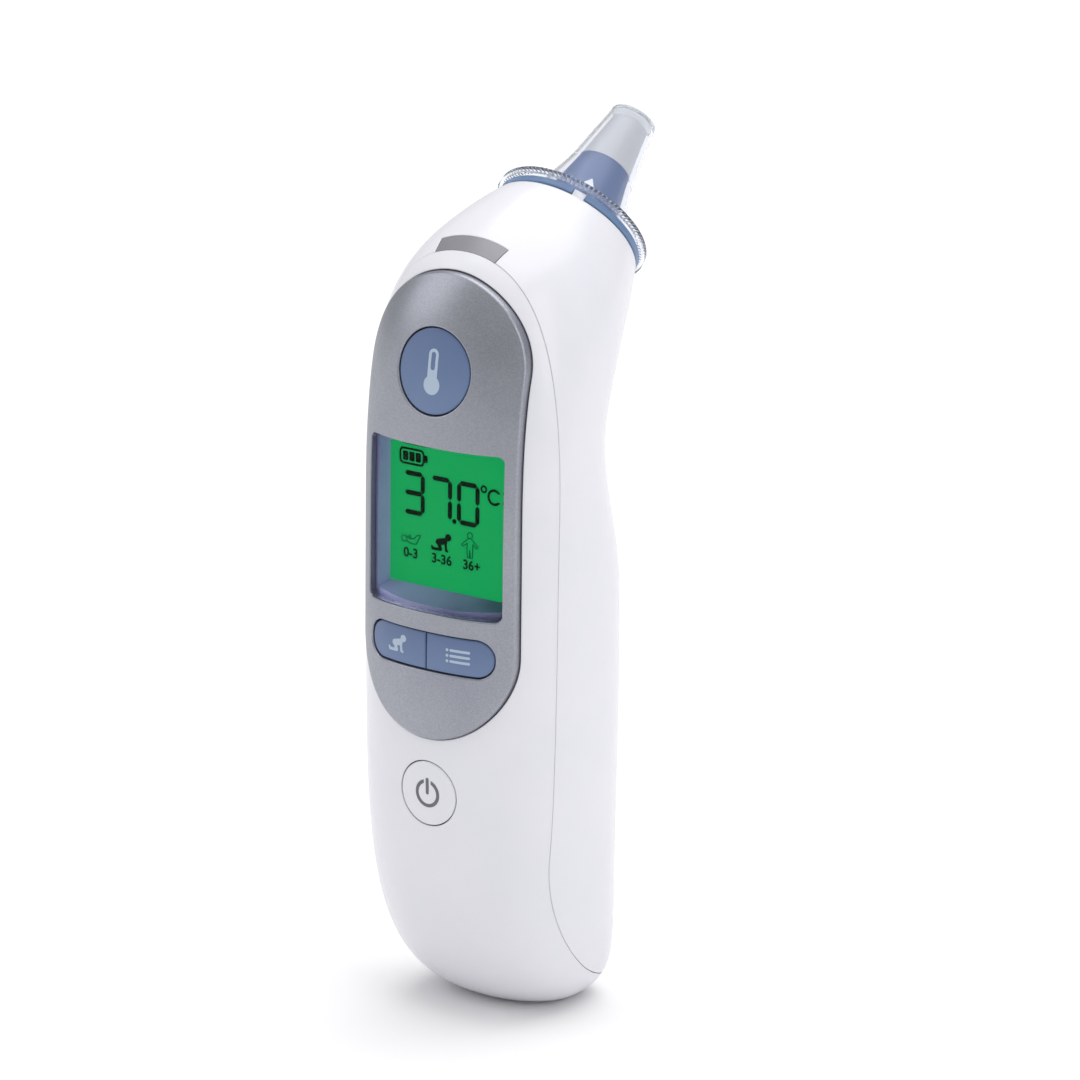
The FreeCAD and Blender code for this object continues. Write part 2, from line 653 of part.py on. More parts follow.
def main():
    os.makedirs("parts", exist_ok=True)
    for name, shape in build().items():
        shape = shape.removeSplitter() if shape.ShapeType == "Solid" else shape
        shape.translate(V(0, -MID_Y, 0))
        print(f"{name:22s} solids {len(shape.Solids)} valid {shape.isValid()} volume {shape.Volume:9.1f}")
        shape.exportStep(f"parts/{name}.step")


main()
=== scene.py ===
import json
import math

import bpy
from bpy.props import FloatProperty, FloatVectorProperty, IntProperty, PointerProperty
from mathutils import Matrix, Vector


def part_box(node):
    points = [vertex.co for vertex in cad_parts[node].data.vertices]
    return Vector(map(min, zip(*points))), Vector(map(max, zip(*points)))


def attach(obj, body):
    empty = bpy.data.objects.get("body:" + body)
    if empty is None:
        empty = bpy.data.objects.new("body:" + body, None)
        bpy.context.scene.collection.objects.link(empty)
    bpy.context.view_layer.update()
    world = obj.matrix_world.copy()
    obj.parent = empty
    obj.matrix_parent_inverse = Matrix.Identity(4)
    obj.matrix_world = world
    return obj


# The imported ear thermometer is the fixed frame. Everything here is laid on it, in metres, +Z up,
# -Y to the front. Printed signs are thin skins that follow the surface they lie on.
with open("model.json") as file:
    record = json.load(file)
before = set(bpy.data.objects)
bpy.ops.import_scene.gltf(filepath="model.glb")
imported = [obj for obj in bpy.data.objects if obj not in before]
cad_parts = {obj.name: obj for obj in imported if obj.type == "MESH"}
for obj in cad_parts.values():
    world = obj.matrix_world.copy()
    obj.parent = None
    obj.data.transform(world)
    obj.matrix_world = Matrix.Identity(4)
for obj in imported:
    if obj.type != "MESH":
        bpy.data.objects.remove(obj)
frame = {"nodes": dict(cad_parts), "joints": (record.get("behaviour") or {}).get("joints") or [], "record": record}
NODES = frame["nodes"]
MM = 0.001
DRAWN_THICK = 1 * MM                # how thick a sign is drawn before it is laid on its surface
SMOOTH_ANGLE = math.radians(35)     # edges flatter than this are shaded smooth
UPRIGHT = math.pi / 2

bl_info = {
    "name": "Ear thermometer looks",
    "version": (1, 0, 0),
    "blender": (4, 5, 0),
    "location": "View3D > Sidebar > Thermometer",
    "description": "Finishes, printed signs, display and studio of an infrared ear thermometer",
    "category": "Object",
}


# ---------------------------------------------------------------- sizes and colours
def tint(name, description, default):
    return FloatVectorProperty(name=name, description=description, default=default,
                               size=len(default), subtype="COLOR", min=0.0, max=1.0)


def size(name, description, millimetres):
    return FloatProperty(name=name, description=description, default=millimetres * MM,
                         unit="LENGTH", subtype="DISTANCE")


class HousingFinish(bpy.types.PropertyGroup):
    shell: tint("Shell", "White of the moulded housing", (0.745, 0.742, 0.785))
    shell_shade: tint("Shell shade", "Cooler white in its flow clouds", (0.715, 0.715, 0.77))
    panel: tint("Panel", "Silver lacquer of the control panel", (0.315, 0.325, 0.365))
    panel_shade: tint("Panel shade", "Deeper tone in the lacquer", (0.255, 0.265, 0.31))
    # Painted shade: the light strip's grey darkens towards its left end.
    strip: tint("Light strip", "Grey of the light strip on the brow", (0.27, 0.27, 0.295))
    strip_painted_shade: tint("Light strip painted shade", "Darker end of the light strip", (0.20, 0.20, 0.225))


class KeyFinish(bpy.types.PropertyGroup):
    # Painted light and shade: a key's blue is lighter at its lower edge and darker at its upper edge, as the light
    # falls.
    low: tint("Key, low, painted light", "Blue at the lower edge of a key", (0.135, 0.200, 0.350))
    high: tint("Key, high, painted shade", "Blue at the upper edge of a key", (0.085, 0.132, 0.262))
    sign: tint("Key sign", "Pale print on the blue keys", (0.40, 0.49, 0.61))
    power: tint("Power sign", "Grey print on the power key", (0.135, 0.135, 0.155))
    start_tall: size("Start sign height", "Height of the thermometer sign", 7.8)
    stem_wide: size("Stem width", "Width of the thermometer sign's stem", 2.0)
    bulb_wide: size("Bulb width", "Width of the thermometer sign's bulb", 3.3)
    line: size("Line", "Width of the thermometer sign's outline", 0.55)
    age_wide: size("Age sign width", "Width of the crawling child on the age key", 4.2)
    list_wide: size("List sign width", "Width of the stacked lines on the memory key", 4.6)
    list_tall: size("List sign height", "Height of the stacked lines on the memory key", 2.5)
    power_wide: size("Power sign width", "Outer width of the power sign", 5.0)
    power_line: size("Power line", "Width of the power sign's strokes", 0.62)
    ink: size("Ink", "How far a printed sign stands proud of its key", 0.03)


class DisplayFinish(bpy.types.PropertyGroup):
    glow: tint("Backlight", "Green of the lit display", (0.001, 0.345, 0.085))
    glow_edge: tint("Backlight edge", "Green towards the display's edge", (0.001, 0.300, 0.075))
    # Painted light and shade: the well's blue runs from lit at its left end to deep shade at its right end.
    well: tint("Well", "Blue of the well round the display", (0.43, 0.46, 0.82))
    well_painted_shade: tint("Well, painted shade", "Painted shade, deeper blue to the well's right", (0.06, 0.075, 0.17))
    ink: tint("Dark segments", "Lit segments of the liquid crystal", (0.004, 0.012, 0.006))
    margin: size("Margin", "From the glass's edge to the lit area", 1.4)
    digit_wide: size("Digit width", "Between the middles of a digit's uprights", 3.85)
    digit_tall: size("Digit height", "Between the middles of a digit's top and foot", 6.85)
    digit_line: size("Digit line", "Width of a segment", 0.88)
    digit_pitch: size("Digit pitch", "From one digit to the next", 5.75)
    segment_gap: size("Segment gap", "Between two segments of a digit", 0.16)
    label_tall: size("Label height", "Type size of the numbers under the age signs", 2.35)
    film: size("Film", "Thickness of the segments on the glass", 0.04)


class HeadFinish(bpy.types.PropertyGroup):
    collar: tint("Collar", "Blue of the ejector ring", (0.145, 0.235, 0.40))
    collar_shade: tint("Collar shade", "Deeper blue of the ejector ring", (0.115, 0.19, 0.345))
    cone: tint("Cone", "Blue of the probe's foot", (0.075, 0.145, 0.34))
    cone_shade: tint("Cone shade", "Deeper blue of the probe's foot", (0.06, 0.12, 0.29))
    tip: tint("Tip", "Pale grey of the probe's tip", (0.64, 0.645, 0.67))
    clear: tint("Filter", "Tint of the clear lens filter", (0.95, 0.965, 1.0))
    arrow_wide: size("Arrow width", "Width of the moulded arrow on the filter", 2.6)
    arrow_up: size("Arrow place", "Height of the arrow over the rim", 6.2)
    arrow_out: size("Arrow radius", "Distance of the arrow from the probe's axis", 8.0)
    rib_long: size("Rib length", "Length of a grip rib on the filter's brim", 1.3)
    rib_count: IntProperty(name="Ribs", description="Grip ribs round the filter's brim", default=96)


class StudioSetup(bpy.types.PropertyGroup):
    azimuth: FloatProperty(name="Azimuth", description="Camera's turn to the object's right",
                           default=math.radians(36), subtype="ANGLE", unit="ROTATION")
    elevation: FloatProperty(name="Elevation", description="Camera's angle over the horizon",
                             default=math.radians(16), subtype="ANGLE", unit="ROTATION")
    roll: FloatProperty(name="Roll", description="Camera's turn about its own axis",
                        default=math.radians(0.7), subtype="ANGLE", unit="ROTATION")
    distance: size("Distance", "From the camera to the point it looks at", 1000)
    aim_back: size("Aim depth", "How far in front of the middle the camera looks", 10.18)
    aim_up: size("Aim height", "Height of the point the camera looks at", 80)
    across: size("Across", "Camera's parallel move to the right", 7.12)
    up: size("Up", "Camera's parallel move upwards", 2.74)
    lens: FloatProperty(name="Lens", description="Focal length in millimetres", default=194.35)
    backdrop: tint("Backdrop", "White of the floor and the surroundings", (1.0, 1.0, 1.0))
    floor: tint("Floor", "Pale floor", (0.90, 0.90, 0.905))
    daylight: FloatProperty(name="Daylight", description="Strength of the even studio light",
                            default=0.50)
    floor_wide: size("Floor width", "Width of the round floor", 9000)


def settings():
    return bpy.context.scene.thermometer


class ThermometerSettings(bpy.types.PropertyGroup):
    housing: PointerProperty(type=HousingFinish, name="Housing", description="Housing and panel")
    keys: PointerProperty(type=KeyFinish, name="Keys", description="Keys and their signs")
    display: PointerProperty(type=DisplayFinish, name="Display",
                             description="Display and its segments")
    head: PointerProperty(type=HeadFinish, name="Head", description="Probe, ring and filter")
    studio: PointerProperty(type=StudioSetup, name="Studio", description="Floor, lights and camera")


# ---------------------------------------------------------------- places taken from the frame
def middle(node):
    low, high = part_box(node)
    return (low + high) / 2


def joint_axis(name):
    for joint in frame["joints"]:
        if joint["name"] == name:
            return Vector(joint["axis"]).normalized()
    raise RuntimeError(f"the frame has no joint named {name}")


def rim_middle():
    """The middle of the head's rim, which the filter's seat is stated at."""
    for mount in frame["record"]["mounts"]:
        if mount["name"] == "filter_seat":
            return Vector(mount["pos_m"])
    raise RuntimeError("the frame has no filter seat")


def on_head(up, out, turn, lean):
    """A matrix for a piece drawn flat, facing +Z with its top to +Y: it is set on the head at a
    height over the rim, a distance from the probe's axis and a turn about it, and leans back from
    upright."""
    axis = joint_axis("filter_off")
    front = Vector((0, -axis.z, axis.y))
    outward = Matrix.Rotation(turn, 3, axis) @ front
    side = axis.cross(outward)
    face = (outward * math.cos(lean) + axis * math.sin(lean)).normalized()
    top = face.cross(side)
    seat = Matrix((side, top, face)).transposed().to_4x4()
    seat.translation = rim_middle() + axis * up + outward * out
    return seat


# ---------------------------------------------------------------- modelling by hand
def alone(piece):
    """Makes one piece the only selected one."""
    bpy.ops.object.select_all(action="DESELECT")
    piece.select_set(True)
    bpy.context.view_layer.objects.active = piece


def open_mesh(piece, kind="FACE"):
    """Opens a piece in edit mode with all of it selected."""
    alone(piece)
    bpy.ops.object.mode_set(mode="EDIT")
    bpy.ops.mesh.select_mode(type=kind)
    bpy.ops.mesh.select_all(action="SELECT")


def close_mesh():
    bpy.ops.object.mode_set(mode="OBJECT")


def thicken(piece):
    """Extrudes a flat face towards +Z and turns its faces outwards."""
    open_mesh(piece)
    bpy.ops.mesh.extrude_region_move(TRANSFORM_OT_translate={"value": (0, 0, DRAWN_THICK)})
    bpy.ops.mesh.select_all(action="SELECT")
    bpy.ops.mesh.normals_make_consistent(inside=False)
    close_mesh()


def settle(piece, matrix):
    """Puts a piece's place into its mesh, so that the object stays at the origin."""
    piece.matrix_world = matrix
    alone(piece)
    bpy.ops.object.transform_apply(location=True, rotation=True, scale=True)


def bar(long, wide, x=0.0, y=0.0, turn=0.0, steps=6, corner=0.495):
    """A bar drawn flat about (x, y). Its corners take this share of its width: they are round, or
    cut straight when there is one step."""
    bpy.ops.object.select_all(action="DESELECT")
    bpy.ops.mesh.primitive_plane_add(size=1)
    piece = bpy.context.object
    settle(piece, Matrix.Diagonal((long, wide, 1, 1)))
    open_mesh(piece, "VERT")
    bpy.ops.mesh.bevel(offset=corner * min(long, wide), segments=steps, affect="VERTICES")
    close_mesh()
    thicken(piece)
    settle(piece, Matrix.Translation((x, y, 0)) @ Matrix.Rotation(turn, 4, "Z"))
    return piece


def stroke(start, end, wide, steps=6):
    """A bar with round ends from one point to another."""
    run = Vector(end) - Vector(start)
    spot = (Vector(start) + Vector(end)) / 2
    return bar(run.length + wide, wide, spot.x, spot.y, math.atan2(run.y, run.x), steps)


def disc(radius, x=0.0, y=0.0, steps=40, hole=0.0):
    """A disc, or a ring when it has a hole."""
    bpy.ops.object.select_all(action="DESELECT")
    bpy.ops.mesh.primitive_circle_add(vertices=steps, radius=radius, fill_type="NGON")
    piece = bpy.context.object
    if hole:
        open_mesh(piece)
        bpy.ops.mesh.inset(thickness=radius - hole)
        bpy.ops.mesh.delete(type="FACE")
        close_mesh()
    thicken(piece)
    settle(piece, Matrix.Translation((x, y, 0)))
    return piece


def combine(piece, other, how="UNION"):
    """Welds another piece to this one, or cuts it out of this one."""
    tool = piece.modifiers.new("Combine", "BOOLEAN")
    tool.operation = how
    tool.solver = "EXACT"
    tool.object = other
    alone(piece)
    bpy.ops.object.modifier_apply(modifier=tool.name)
    bpy.data.objects.remove(other)
    return piece


def welded(pieces):
    """One closed piece of several that overlap."""
    whole = pieces[0]
    for other in pieces[1:]:
        combine(whole, other)
    return whole


def joined(pieces):
    """One object of several separate pieces."""
    bpy.ops.object.select_all(action="DESELECT")
    for piece in pieces:
        piece.select_set(True)
    bpy.context.view_layer.objects.active = pieces[0]
    if len(pieces) > 1:
        bpy.ops.object.join()
    return pieces[0]


def finished(piece, name, body, material):
    """Names a piece, gives it its finish and lets it ride on its body."""
    piece.name = name
    piece.data.name = name
    piece.data.materials.clear()
    piece.data.materials.append(material)
    alone(piece)
    bpy.ops.object.shade_smooth_by_angle(angle=SMOOTH_ANGLE)
    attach(piece, body)


def flattened(piece):
    """Keeps only the face of a thick sign that looks at the viewer."""
    open_mesh(piece)
    bpy.ops.mesh.select_all(action="DESELECT")
    close_mesh()
    for face in piece.data.polygons:
        face.select = face.normal.z < 0.9
    bpy.ops.object.mode_set(mode="EDIT")
    bpy.ops.mesh.delete(type="FACE")
    bpy.ops.mesh.select_all(action="SELECT")
    bpy.ops.mesh.remove_doubles(threshold=0.002 * MM)
    close_mesh()


def sliced(piece, step):
    """Cuts a flat sign into narrow strips, so that it can bend."""
    low = Vector(piece.bound_box[0])
    high = Vector(piece.bound_box[6])
    for axis in (0, 1):
        count = int((high[axis] - low[axis]) / step)
        for k in range(1, count + 1):
            spot = low.copy()
            spot[axis] += (high[axis] - low[axis]) * k / (count + 1)
            cut = Vector((0, 0, 0))
            cut[axis] = 1
            open_mesh(piece)
            bpy.ops.mesh.bisect(plane_co=spot, plane_no=cut)
            close_mesh()


def printed(piece, node, x, z, back=False, ink=None):
    """Lays a flat sign on the front or the back of a node, as a thin skin that follows it."""
    ink = ink or settings().keys.ink
    flattened(piece)
    sliced(piece, 0.7 * MM)
    low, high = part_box(node)
    start = high.y + 2 * MM if back else low.y - 2 * MM
    facing = Matrix.Rotation(math.pi if back else 0.0, 4, "Z") @ Matrix.Rotation(UPRIGHT, 4, "X")
    settle(piece, Matrix.Translation((x, start, z)) @ facing)
    wrap = piece.modifiers.new("Follow the surface", "SHRINKWRAP")
    wrap.target = NODES[node]
    wrap.wrap_method = "PROJECT"
    wrap.use_project_y = True
    wrap.use_positive_direction = not back
    wrap.use_negative_direction = back
    skin = piece.modifiers.new("Ink", "SOLIDIFY")
    skin.thickness = 1.5 * ink
    skin.offset = 0.35
    alone(piece)
    for tool in (wrap, skin):
        bpy.ops.object.modifier_apply(modifier=tool.name)


# ---------------------------------------------------------------- materials
def dimmed(colour, share):
    """A colour with this share of its brightness."""
    return tuple(share * part for part in colour)


def blank(name):
    """An empty material with its nodes and links."""
    material = bpy.data.materials.new(name)
    material.use_nodes = True
    material.node_tree.nodes.clear()
    return material, material.node_tree.nodes, material.node_tree.links


def set_out(*columns):
    """Sets nodes out in columns from left to right, each from the top down."""
    for across, column in enumerate(columns):
        for down, node in enumerate(column):
            node.location = (260 * across, -320 * down)


def group(nodes, label, members):
    """A labelled frame round the nodes that make one effect."""
    holder = nodes.new("NodeFrame")
    holder.label = label
    for node in members:
        node.parent = holder


def moulded_plastic(name, colour, shade, gloss=0.30, grain=4200.0, soft=0.0, bend=1.5):
    """Injection-moulded plastic: clouds of a second tone, fine mould grain and uneven polish."""
    material, nodes, links = blank(name)
    place = nodes.new("ShaderNodeTexCoord")
    place.label = "Place on the piece"
    clouds = nodes.new("ShaderNodeTexNoise")
    clouds.label = "Flow clouds of the moulding"
    tone = nodes.new("ShaderNodeValToRGB")
    tone.label = "Between the two tones of the plastic"
    patches = nodes.new("ShaderNodeTexNoise")
    patches.label = "Patches of more and less polish"
    polish = nodes.new("ShaderNodeMapRange")
    polish.label = "Roughness of the patches"
    grit = nodes.new("ShaderNodeTexNoise")
    grit.label = "Fine grain of the mould"
    relief = nodes.new("ShaderNodeBump")
    relief.label = "Grain as relief"
    surface = nodes.new("ShaderNodeBsdfPrincipled")
    surface.label = "Moulded plastic"
    output = nodes.new("ShaderNodeOutputMaterial")
    output.label = "Surface"
    set_out((place,), (clouds, patches, grit), (tone, polish, relief), (surface,), (output,))
    group(nodes, "Colour", (clouds, tone))
    group(nodes, "Polish", (patches, polish))
    group(nodes, "Mould grain", (grit, relief))

    clouds.inputs["Scale"].default_value = 55.0
    clouds.inputs["Detail"].default_value = 4.0
    clouds.inputs["Roughness"].default_value = 0.6
    tone.color_ramp.elements[0].position = 0.30
    tone.color_ramp.elements[0].color = (*shade, 1.0)
    tone.color_ramp.elements[1].position = 0.70
    tone.color_ramp.elements[1].color = (*colour, 1.0)
    patches.inputs["Scale"].default_value = 160.0
    patches.inputs["Detail"].default_value = 6.0
    polish.inputs["To Min"].default_value = gloss * 0.85
    polish.inputs["To Max"].default_value = gloss * 1.20
    grit.inputs["Scale"].default_value = grain
    grit.inputs["Detail"].default_value = 2.0
    relief.inputs["Strength"].default_value = 0.6
    relief.inputs["Distance"].default_value = 0.012 * MM
    surface.inputs["IOR"].default_value = bend
    surface.inputs["Subsurface Weight"].default_value = soft
    surface.inputs["Subsurface Radius"].default_value = (0.0016, 0.0014, 0.0013)
    surface.inputs["Subsurface Scale"].default_value = 1.0

    links.new(place.outputs["Object"], clouds.inputs["Vector"])
    links.new(place.outputs["Object"], patches.inputs["Vector"])
    links.new(place.outputs["Object"], grit.inputs["Vector"])
    links.new(clouds.outputs["Fac"], tone.inputs["Fac"])
    links.new(patches.outputs["Fac"], polish.inputs["Value"])
    links.new(grit.outputs["Fac"], relief.inputs["Height"])
    links.new(tone.outputs["Color"], surface.inputs["Base Color"])
    links.new(polish.outputs["Result"], surface.inputs["Roughness"])
    links.new(relief.outputs["Normal"], surface.inputs["Normal"])
    links.new(surface.outputs["BSDF"], output.inputs["Surface"])
    return material


def painted_shade_plastic(name, low_painted_tone, high_painted_tone, low, high, gloss=0.38, axis="Z"):
    """Satin plastic with painted light and shade: its tone runs from one height to another, with a fine grain."""
    material, nodes, links = blank(name)
    place = nodes.new("ShaderNodeTexCoord")
    place.label = "Place on the piece"
    split = nodes.new("ShaderNodeSeparateXYZ")
    split.label = "Height on the piece"
    height = nodes.new("ShaderNodeMapRange")
    height.label = "From the lower to the upper edge"
    wander = nodes.new("ShaderNodeTexNoise")
    wander.label = "Soft waver of the tone"
    sway = nodes.new("ShaderNodeMath")
    sway.label = "Waver added to the run"
    centre = nodes.new("ShaderNodeMath")
    centre.label = "Waver about nought"
    tone = nodes.new("ShaderNodeValToRGB")
    tone.label = "Painted light and shade, lower and upper"
    patches = nodes.new("ShaderNodeTexNoise")
    patches.label = "Wear from the thumb"
    polish = nodes.new("ShaderNodeMapRange")
    polish.label = "Roughness where it is worn"
    grit = nodes.new("ShaderNodeTexNoise")
    grit.label = "Satin grain"
    relief = nodes.new("ShaderNodeBump")
    relief.label = "Grain as relief"
    surface = nodes.new("ShaderNodeBsdfPrincipled")
    surface.label = "Satin plastic"
    output = nodes.new("ShaderNodeOutputMaterial")
    output.label = "Surface"
    set_out((place,), (split, wander), (height, centre, patches, grit), (sway,), (polish, relief),
            (tone,), (surface,), (output,))
    group(nodes, "Colour", (split, height, wander, centre, sway, tone))
    group(nodes, "Wear", (patches, polish))
    group(nodes, "Satin grain", (grit, relief))

    height.inputs["From Min"].default_value = low
    height.inputs["From Max"].default_value = high
    wander.inputs["Scale"].default_value = 190.0
    wander.inputs["Detail"].default_value = 3.0
    centre.operation = "MULTIPLY_ADD"
    centre.inputs[1].default_value = 0.30
    centre.inputs[2].default_value = -0.15
    sway.operation = "ADD"
    # Painted light and shade: the run's two ends stand for the lit side and the shaded side of the piece.
    tone.color_ramp.elements[0].color = (*low_painted_tone, 1.0)
    tone.color_ramp.elements[1].color = (*high_painted_tone, 1.0)
    patches.inputs["Scale"].default_value = 260.0
    patches.inputs["Detail"].default_value = 5.0
    polish.inputs["To Min"].default_value = gloss * 0.80
    polish.inputs["To Max"].default_value = gloss * 1.20
    grit.inputs["Scale"].default_value = 5200.0
    grit.inputs["Detail"].default_value = 2.0
    relief.inputs["Strength"].default_value = 0.6
    relief.inputs["Distance"].default_value = 0.014 * MM
    surface.inputs["IOR"].default_value = 1.50

    links.new(place.outputs["Object"], split.inputs["Vector"])
    links.new(place.outputs["Object"], wander.inputs["Vector"])
    links.new(place.outputs["Object"], patches.inputs["Vector"])
    links.new(place.outputs["Object"], grit.inputs["Vector"])
    links.new(split.outputs[axis], height.inputs["Value"])
    links.new(wander.outputs["Fac"], centre.inputs[0])
    links.new(height.outputs["Result"], sway.inputs[0])
    links.new(centre.outputs["Value"], sway.inputs[1])
    links.new(sway.outputs["Value"], tone.inputs["Fac"])
    links.new(patches.outputs["Fac"], polish.inputs["Value"])
    links.new(grit.outputs["Fac"], relief.inputs["Height"])
    links.new(tone.outputs["Color"], surface.inputs["Base Color"])
    links.new(polish.outputs["Result"], surface.inputs["Roughness"])
    links.new(relief.outputs["Normal"], surface.inputs["Normal"])
    links.new(surface.outputs["BSDF"], output.inputs["Surface"])
    return material


def silver_lacquer(name, colour, shade):
    """Metallic lacquer: tiny flakes that differ in brightness and tilt under a thin clear coat."""
    material, nodes, links = blank(name)
    place = nodes.new("ShaderNodeTexCoord")
    place.label = "Place on the piece"
    drift = nodes.new("ShaderNodeTexNoise")
    drift.label = "Uneven spray of the lacquer"
    tone = nodes.new("ShaderNodeValToRGB")
    tone.label = "Thin and thick lacquer"
    flakes = nodes.new("ShaderNodeTexVoronoi")
    flakes.label = "Metal flakes"
    one_value = nodes.new("ShaderNodeSeparateColor")
    one_value.label = "A random value for each flake"
    sparkle = nodes.new("ShaderNodeMapRange")
    sparkle.label = "Brightness of a flake"
    lit = nodes.new("ShaderNodeVectorMath")
    lit.label = "Lacquer times flakes"
    smears = nodes.new("ShaderNodeTexNoise")
    smears.label = "Handling smears"
    polish = nodes.new("ShaderNodeMapRange")
    polish.label = "Roughness of the smears"
    tilt = nodes.new("ShaderNodeBump")
    tilt.label = "Tilt of the flakes"
    surface = nodes.new("ShaderNodeBsdfPrincipled")
    surface.label = "Silver lacquer"
    output = nodes.new("ShaderNodeOutputMaterial")
    output.label = "Surface"
    set_out((place,), (drift, flakes), (one_value, smears), (tone,), (sparkle, polish), (lit, tilt),
            (surface,), (output,))
    group(nodes, "Lacquer colour", (drift, tone, lit))
    group(nodes, "Flakes", (flakes, one_value, sparkle, tilt))
    group(nodes, "Smears", (smears, polish))

    drift.inputs["Scale"].default_value = 38.0
    drift.inputs["Detail"].default_value = 3.0
    tone.color_ramp.elements[0].position = 0.32
    tone.color_ramp.elements[0].color = (*shade, 1.0)
    tone.color_ramp.elements[1].position = 0.68
    tone.color_ramp.elements[1].color = (*colour, 1.0)
    flakes.inputs["Scale"].default_value = 5200.0
    sparkle.inputs["To Min"].default_value = 0.94
    sparkle.inputs["To Max"].default_value = 1.12
    lit.operation = "SCALE"
    smears.inputs["Scale"].default_value = 120.0
    smears.inputs["Detail"].default_value = 6.0
    smears.inputs["Distortion"].default_value = 0.6
    polish.inputs["To Min"].default_value = 0.30
    polish.inputs["To Max"].default_value = 0.42
    tilt.inputs["Strength"].default_value = 0.25
    tilt.inputs["Distance"].default_value = 0.01 * MM
    surface.inputs["Metallic"].default_value = 0.75
    surface.inputs["IOR"].default_value = 1.50
    surface.inputs["Coat Weight"].default_value = 0.20
    surface.inputs["Coat Roughness"].default_value = 0.18

    links.new(place.outputs["Object"], drift.inputs["Vector"])
    links.new(place.outputs["Object"], flakes.inputs["Vector"])
    links.new(place.outputs["Object"], smears.inputs["Vector"])
    links.new(drift.outputs["Fac"], tone.inputs["Fac"])
    links.new(flakes.outputs["Color"], one_value.inputs["Color"])
    links.new(one_value.outputs["Red"], sparkle.inputs["Value"])
    links.new(tone.outputs["Color"], lit.inputs["Vector"])
    links.new(sparkle.outputs["Result"], lit.inputs["Scale"])
    links.new(one_value.outputs["Green"], tilt.inputs["Height"])
    links.new(smears.outputs["Fac"], polish.inputs["Value"])
    links.new(lit.outputs["Vector"], surface.inputs["Base Color"])
    links.new(polish.outputs["Result"], surface.inputs["Roughness"])
    links.new(tilt.outputs["Normal"], surface.inputs["Normal"])
    links.new(surface.outputs["BSDF"], output.inputs["Surface"])
    return material


def clear_plastic(name, colour, gloss, ripple=260.0, depth=0.02, bend=1.45, frost=0.0):
    """Clear plastic: light goes through it, with fine flow ripples and faint finger smears."""
    material, nodes, links = blank(name)
    place = nodes.new("ShaderNodeTexCoord")
    place.label = "Place on the piece"
    flow = nodes.new("ShaderNodeTexNoise")
    flow.label = "Tint along the flow lines"
    tone = nodes.new("ShaderNodeValToRGB")
    tone.label = "Clear plastic, thin and thick"
    smears = nodes.new("ShaderNodeTexNoise")
    smears.label = "Finger smears"
    polish = nodes.new("ShaderNodeMapRange")
    polish.label = "Roughness of the smears"
    waves = nodes.new("ShaderNodeTexNoise")
    waves.label = "Moulding ripples"
    relief = nodes.new("ShaderNodeBump")
    relief.label = "Ripples as relief"
    surface = nodes.new("ShaderNodeBsdfPrincipled")
    surface.label = "Clear plastic"
    output = nodes.new("ShaderNodeOutputMaterial")
    output.label = "Surface"
    set_out((place,), (flow, smears, waves), (tone, polish, relief), (surface,), (output,))
    group(nodes, "Tint", (flow, tone))
    group(nodes, "Smears", (smears, polish))
    group(nodes, "Ripples", (waves, relief))

    flow.inputs["Scale"].default_value = 90.0
    tone.color_ramp.elements[0].color = (*dimmed(colour, 0.96), 1.0)
    tone.color_ramp.elements[1].color = (*colour, 1.0)
    smears.inputs["Scale"].default_value = 210.0
    smears.inputs["Detail"].default_value = 5.0
    polish.inputs["From Min"].default_value = 0.4
    polish.inputs["From Max"].default_value = 0.8
    polish.inputs["To Min"].default_value = gloss
    polish.inputs["To Max"].default_value = gloss + 0.05
    waves.inputs["Scale"].default_value = ripple
    waves.inputs["Detail"].default_value = 1.0
    relief.inputs["Strength"].default_value = 0.5
    relief.inputs["Distance"].default_value = depth * MM
    surface.inputs["Transmission Weight"].default_value = 1.0 - frost
    surface.inputs["IOR"].default_value = bend

    links.new(place.outputs["Object"], flow.inputs["Vector"])
    links.new(place.outputs["Object"], smears.inputs["Vector"])
    links.new(place.outputs["Object"], waves.inputs["Vector"])
    links.new(flow.outputs["Fac"], tone.inputs["Fac"])
    links.new(smears.outputs["Fac"], polish.inputs["Value"])
    links.new(waves.outputs["Fac"], relief.inputs["Height"])
    links.new(tone.outputs["Color"], surface.inputs["Base Color"])
    links.new(polish.outputs["Result"], surface.inputs["Roughness"])
    links.new(relief.outputs["Normal"], surface.inputs["Normal"])
    links.new(surface.outputs["BSDF"], output.inputs["Surface"])
    return material


